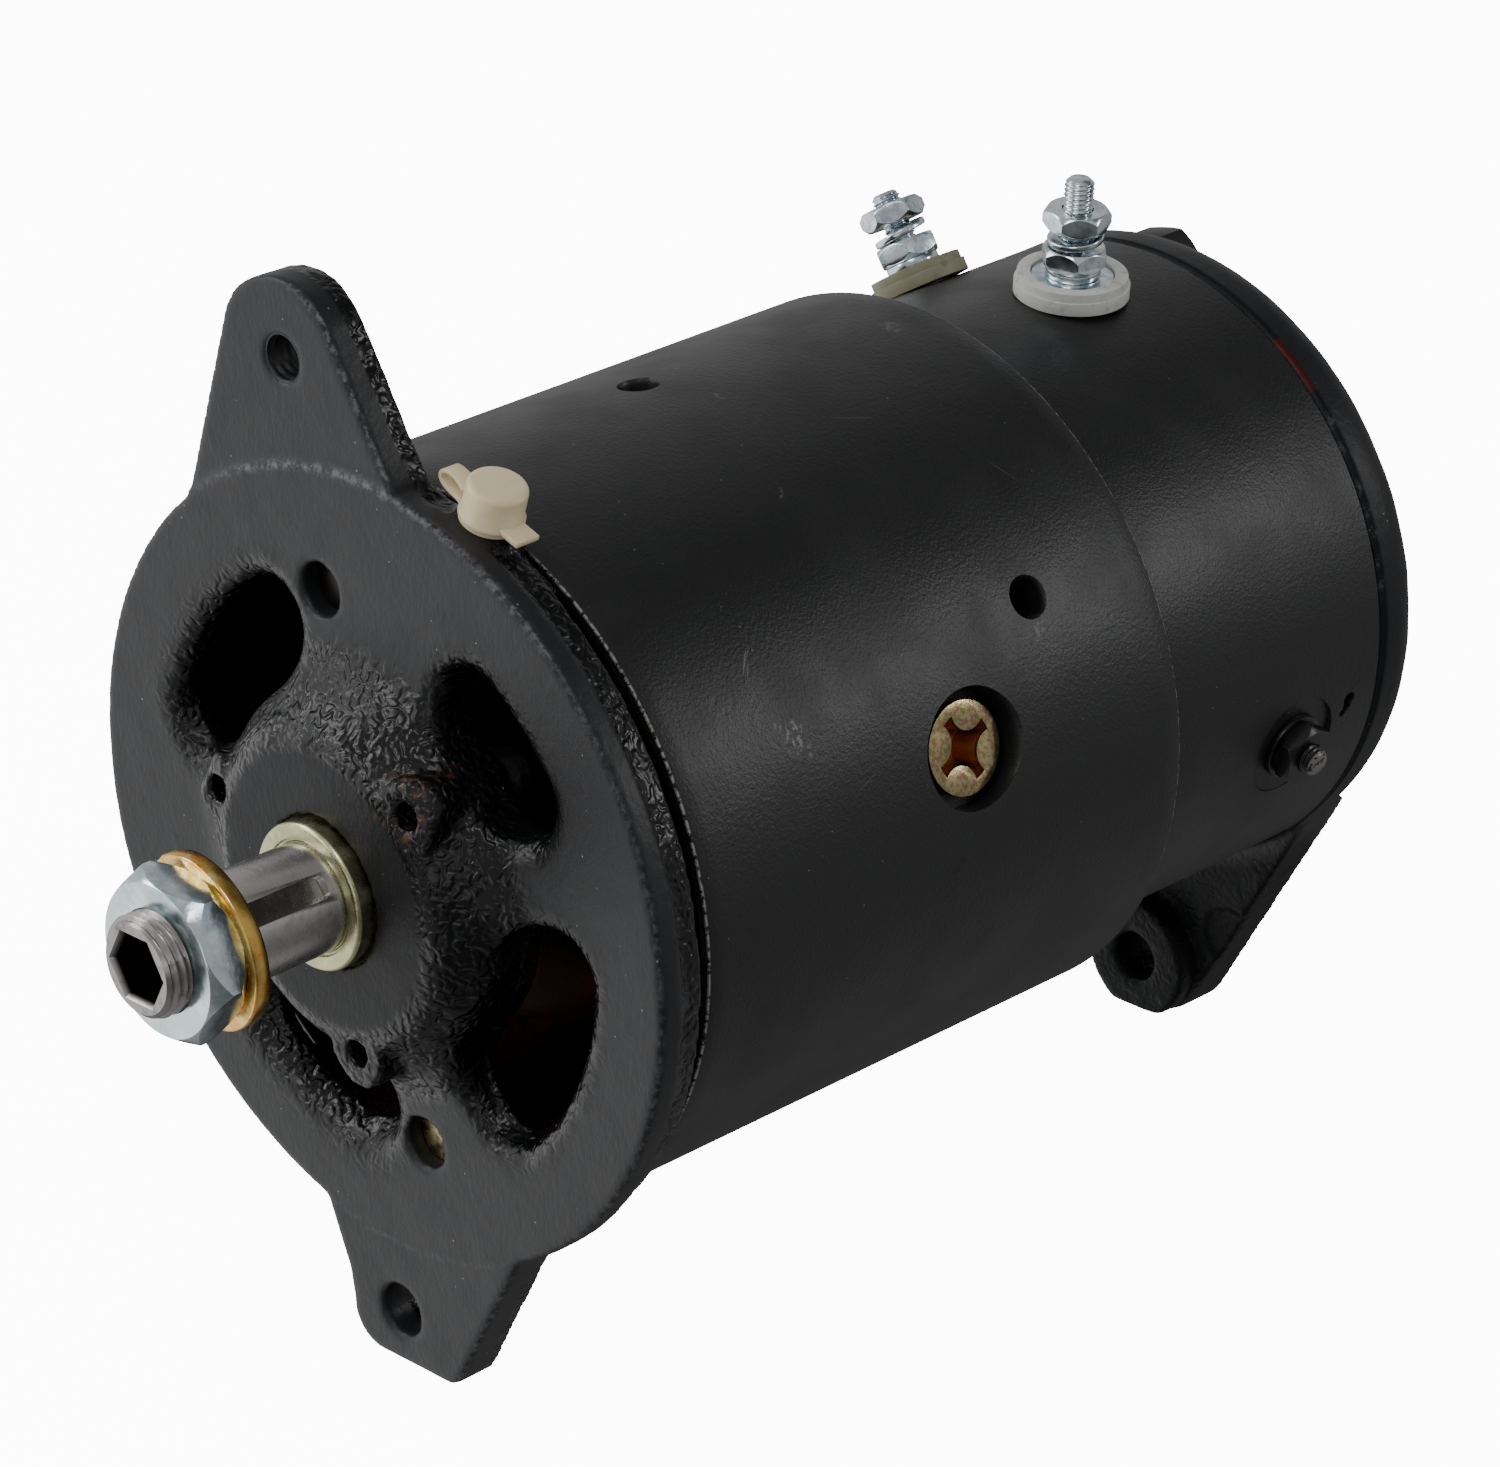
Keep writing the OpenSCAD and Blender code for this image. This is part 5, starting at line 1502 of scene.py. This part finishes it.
@dataclass
class Oiler:
    """The cream flip lid over the bearing's oil hole, on its strap hinge."""

    angle: float = 19.5
    y: float = 21.2
    seat: float = 61.6
    lid_foot: float = 1.0
    rim: float = 4.9
    height: float = 5.6
    wall: float = 0.9
    tab: Point3 = (5.2, 4.4, 0.9)
    tab_x: float = 5.2
    half_strap: float = 0.34
    strap_edge: float = 0.12
    bend_foot: float = 0.9
    bend_head: float = 2.6
    # Middle of the strap, from the base ring to the lid's rim
    loop: tuple[Point2, ...] = (
        (-4.55, 0.4), (-6.2, 0.38), (-7.8, 0.42), (-9.1, 0.8), (-9.85, 1.55),
        (-9.8, 2.4), (-9.0, 3.0), (-7.6, 3.15), (-6.2, 2.9), (-4.85, 2.55),
    )
    loop_widths: tuple[float, ...] = (3.6, 3.0, 2.8, 2.9, 3.0, 3.0, 2.9, 2.8, 3.0, 3.6)

    def build(self) -> None:
        """Makes the lid, its base ring and the strap."""
        self.lid()
        self.base()
        self.strap()

    def lid(self) -> bpy.types.Object:
        """The hollow lid with its lift tab."""
        top, wall = self.height, self.wall
        outer = [(self.rim, 0), (self.rim, 0.5), (self.rim - 0.35, 0.9)]
        for a in (math.radians(degrees) for degrees in range(0, 91, 15)):
            outer.append((self.rim - 1.35 + math.cos(a), top - 1.0 + math.sin(a)))
        ceiling = [(0, top - wall), (self.rim - 1.7, top - wall), (self.rim - 1.4, top - wall - 0.4)]
        place = radial(self.angle, self.y, self.seat + self.lid_foot)
        mesh = Mesh().lathe([*ceiling, (self.rim - wall, 0), *outer, (0, top)], place, steps=64)
        tab = bmesh.ops.create_cube(mesh.bm, size=1.0)["verts"]
        bmesh.ops.scale(mesh.bm, vec=self.tab, verts=tab)
        edges = {e for v in tab for e in v.link_edges}
        bmesh.ops.translate(mesh.bm, vec=(self.tab_x, 0, 0.46), verts=tab)
        bmesh.ops.transform(mesh.bm, matrix=place, verts=tab)
        rounding = {"offset": 0.22, "segments": 2, "profile": 0.5, "affect": "EDGES", "material": -1}
        bmesh.ops.bevel(mesh.bm, geom=list(edges), **rounding)
        made = mesh.finish("oiler_lid_shown", Body.LID, "cream_plastic", 45.0)
        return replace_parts(made, "oiler_lid")

    def base(self) -> bpy.types.Object:
        """The base ring with its plug in the oil hole."""
        plug = [(1.4, -6), (2.55, -6), (2.55, 0.02)]
        flange = [(4.5, 0.02), (4.7, 0.25), (4.7, 0.7), (4.5, 0.9), (1.4, 0.9)]
        mesh = Mesh().lathe([*plug, *flange], radial(self.angle, self.y, self.seat), steps=56)
        made = mesh.finish("oiler_base_shown", Body.STATOR, "cream_plastic")
        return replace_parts(made, "oiler_base")

    def strap(self) -> bpy.types.Object:
        """The flat strap, bent in a loop from the base ring to the lid's rim."""
        fine = smooth_path(self.loop, 4)
        count = len(self.loop_widths)
        wide = np.interp(np.linspace(0, count - 1, len(fine)), range(count), self.loop_widths)
        rows = []
        for i, (x, z) in enumerate(fine):
            a, b = fine[max(i - 1, 0)], fine[min(i + 1, len(fine) - 1)]
            t = Vector((b[0] - a[0], b[1] - a[1])).normalized()
            n = Vector((-t.y, t.x)) * self.half_strap
            w = wide[i] / 2
            edge = w - self.strap_edge
            # Across the strap: how far out along its normal, and how far to the side
            half = ((1, -edge), (1, edge), (0.6, w), (-0.6, w))
            section = [*half, *((-out, -side) for out, side in half)]
            rows.append([Vector((x + n.x * out, side, z + n.y * out)) for out, side in section])
        place = radial(self.angle, self.y, self.seat)
        made = Mesh().grid(rows).moved(place).finish("oiler_hinge_strap_shown", None, "cream_plastic", 60.0)
        bent(made, place, Body.LID, self.bend_foot, self.bend_head)
        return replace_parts(made, "oiler_hinge_strap")


def smooth_path(points: Sequence[Point2], steps: int) -> list[Point2]:
    """Rounds a line of points with a Catmull-Rom curve."""
    p = [np.array(q, float) for q in (points[0], *points, points[-1])]
    made = []
    for a, b, c, d in zip(p, p[1:], p[2:], p[3:]):
        for t in (k / steps for k in range(steps)):
            square = (2 * a - 5 * b + 4 * c - d) * t**2
            cube = (3 * b - a - 3 * c + d) * t**3
            q = 0.5 * (2 * b + (c - a) * t + square + cube)
            made.append((float(q[0]), float(q[1])))
    return [*made, tuple(points[-1])]


# Studio


@dataclass(frozen=True)
class SoftBox:
    """An area light: its name, where it stands seen from the part, its size and how bright its face is."""

    name: str
    direction: Point3
    wide: float
    tall: float
    radiance: float


@dataclass(frozen=True)
class Lobe:
    """A part of the surround: its direction, where it starts and is full, and how strong it is."""

    direction: Point3
    start: float
    full: float
    outside: float
    inside: float


@dataclass
class Studio:
    """Plain pale floor, soft light and the photo's camera."""

    floor_z: float = -82.7
    floor_size: float = 6000.0
    middle: Point3 = (0.0, 80.0, 0.0)
    distance: float = 900.0
    lens: float = 145.92
    sensor: float = 36.0
    clip: Point2 = (0.05, 20.0)
    eye: Point3 = (624.473, -494.611, 379.550)
    forward: Point3 = (-0.66671, 0.62295, -0.40918)
    right: Point3 = (0.69322, 0.71995, -0.03343)
    up: Point3 = (-0.27377, 0.30594, 0.91184)
    lights: tuple[SoftBox, ...] = (
        SoftBox("key", (-0.72, -0.50, 0.66), 420, 300, 5.0),
        SoftBox("rim", (0.70, 0.62, 0.355), 170, 300, 8.0),
        SoftBox("skirt", (-0.42, -0.84, 0.33), 300, 220, 5.0),
        SoftBox("top_front", (0.28, -0.52, 0.78), 320, 260, 4.5),
        SoftBox("front_fill", (0.55, -0.80, 0.10), 400, 300, 1.0),
    )
    lobes: tuple[Lobe, ...] = (
        Lobe((0.29, 0.62, 0.73), 0.80, 0.97, 0.55, 0.12),
        Lobe((0.0, 0.6, -0.8), 0.2, 0.75, 1.0, 0.68),
        Lobe((-0.52, 0.62, -0.58), 0.84, 0.97, 1.0, 0.35),
        Lobe((-0.78, 0.62, 0.0), 0.75, 0.97, 1.0, 1.35),
        Lobe((-0.80, -0.50, -0.33), 0.60, 0.90, 0.8, 2.4),
        Lobe((0.85, -0.35, -0.40), 0.60, 0.95, 1.0, 0.3),
    )

    def build(self) -> None:
        """Makes floor, lights, world and camera."""
        self.floor()
        for box in self.lights:
            self.light(box)
        self.world()
        self.camera()

    def floor(self) -> None:
        """A wide white floor just under the lower ear."""
        mesh = Mesh()
        bmesh.ops.create_grid(mesh.bm, x_segments=1, y_segments=1, size=self.floor_size)
        data = mesh.moved(Matrix.Translation((0, 0, self.floor_z))).data("floor", outward=False)
        obj = link("floor", data)
        # Even white that lights nothing and shows in no reflection
        s = Shader("white_studio_floor", "#f4f4f4", 0.9, specular=0.0)
        s.put("Emission Color", (1, 1, 1, 1)).put("Emission Strength", 12.0)
        data.materials.append(s.material)
        obj.visible_glossy = False
        obj.visible_diffuse = False

    def light(self, box: SoftBox) -> None:
        """A soft box at a distance, turned towards the part."""
        data = bpy.data.lights.new(box.name, "AREA")
        data.shape = "RECTANGLE"
        data.size, data.size_y = box.wide * MM, box.tall * MM
        data.energy = box.radiance * math.pi * box.wide * box.tall * MM * MM
        obj = link(box.name, data)
        away = Vector(box.direction).normalized()
        obj.location = (Vector(self.middle) + away * self.distance) * MM
        obj.rotation_mode = "QUATERNION"
        obj.rotation_quaternion = away.to_track_quat("Z", "Y")

    def world(self) -> None:
        """A soft surround that is dimmer overhead and below, and brighter at the lower left."""
        world = bpy.data.worlds.new("studio")
        world.use_nodes = True
        tree = world.node_tree
        tree.nodes.clear()
        coords = add(tree, "TexCoord").outputs["Generated"]
        strength: object = 1.0
        for lobe in self.lobes:
            ways = (coords, Vector(lobe.direction).normalized())
            dot = add(tree, "VectorMath", ways, operation="DOT_PRODUCT").outputs["Value"]
            share = add(tree, "MapRange", (dot, lobe.start, lobe.full, lobe.outside, lobe.inside), **SMOOTH)
            strength = add(tree, "Math", (strength, share), operation="MULTIPLY")
        add(tree, "OutputWorld", (add(tree, "Background", ((1, 1, 1, 1), strength)),))
        bpy.context.scene.world = world

    def camera(self) -> None:
        """The camera, placed and turned as the photo's was."""
        data = bpy.data.cameras.new("camera")
        data.sensor_width = self.sensor
        data.lens = self.lens
        data.clip_start, data.clip_end = self.clip
        obj = link("camera", data)
        axes = Matrix([self.right, self.up, [-x for x in self.forward]]).transposed()
        obj.matrix_world = Matrix.Translation(Vector(self.eye) * MM) @ axes.to_4x4()
        bpy.context.scene.camera = obj


# The whole part


@dataclass(frozen=True)
class Rounded:
    """A CAD node with rounded edges: its slot, the rounding's size, and the two angles that softened takes."""

    node: str
    slot: str
    width: float
    angle: float
    sharp: float


@dataclass
class Generator:
    """Builds every shown piece in order."""

    rounded: tuple[Rounded, ...] = (
        Rounded("pole_screws", "yellow_zinc", 0.3, 40, 32),
        Rounded("terminal_lower_nuts", "bright_zinc", 0.07, 20, 14),
        Rounded("terminal_upper_nuts", "bright_zinc", 0.07, 20, 14),
        Rounded("terminal_cup_washers", "bright_zinc", 0.15, 40, 32),
        Rounded("terminal_flat_washers", "bright_zinc", 0.2, 40, 32),
        Rounded("ground_nut", "black_painted_hardware", 0.12, 20, 16),
        Rounded("ground_washer", "black_painted_hardware", 0.2, 40, 32),
    )
    pole_angle: float = 77.0
    coil_top: float = 35.45
    arm: float = 39.05

    def build(self, frame: dict) -> None:
        """Makes the castings, the tube, the hardware, and paints what CAD holds."""
        steps = (
            ("drive-end frame", DriveEndFrame().build),
            ("adjusting ear's thread", TappedHole().build),
            ("field frame", FieldFrame().build),
            ("commutator-end frame", CommutatorEndFrame().build),
            ("shaft end", ShaftEnd().build),
            ("armature terminal", Terminal("armature_terminal", 6.7, 19.5, "white_fibre").build),
            ("field terminal", Terminal("field_terminal", -31.0, 16.5, "olive_fibre").build),
            ("ground terminal", GroundTerminal().build),
            ("oiler", Oiler().build),
            ("rounded hardware", self.hardware),
            ("brush springs", self.springs),
        )
        for name, step in steps:
            step()
            LOG.info("%s: done", name)
        self.paint(frame)
        LOG.info("inner pieces: done")

    def hardware(self) -> None:
        """Rounds the edges of the small hardware."""
        for piece in self.rounded:
            softened(piece.node, Body.STATOR, piece.slot, piece.width, 2, piece.angle, piece.sharp)
        softened("through_bolts", Body.STATOR, "yellow_zinc", 0.3, 2, 30, look=BOLT_ZINC)

    def springs(self) -> None:
        """Makes each brush spring with rounded edges, riding no body, and bakes its place into its mesh."""
        brushes = (Body.GROUNDED_BRUSH, Body.INSULATED_BRUSH)
        for body, angle in zip(brushes, (self.pole_angle, self.pole_angle + 180)):
            spring = softened(body.value + "_spring", None, "spring_steel", 0.05, 1)
            bent(spring, radial(angle, 0.0), body, self.coil_top, self.arm)

    def paint(self, frame: dict) -> None:
        """Gives every CAD node that stays in view its material."""
        slots = {s["node"]: s["material_slot"] for s in frame["record"]["subparts"]}
        for name, obj in frame["nodes"].items():
            if obj.hide_render:
                continue
            obj.data.materials.clear()
            obj.data.materials.append(material(REPAINTED.get(name, LOOKS[slots[name]])))


def main() -> None:
    """Builds the part in its studio."""
    logging.basicConfig(level=logging.INFO, format="%(name)s: %(message)s")
    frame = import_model()
    Generator().build(frame)
    Studio().build()


if __name__ == "__main__":
    main()
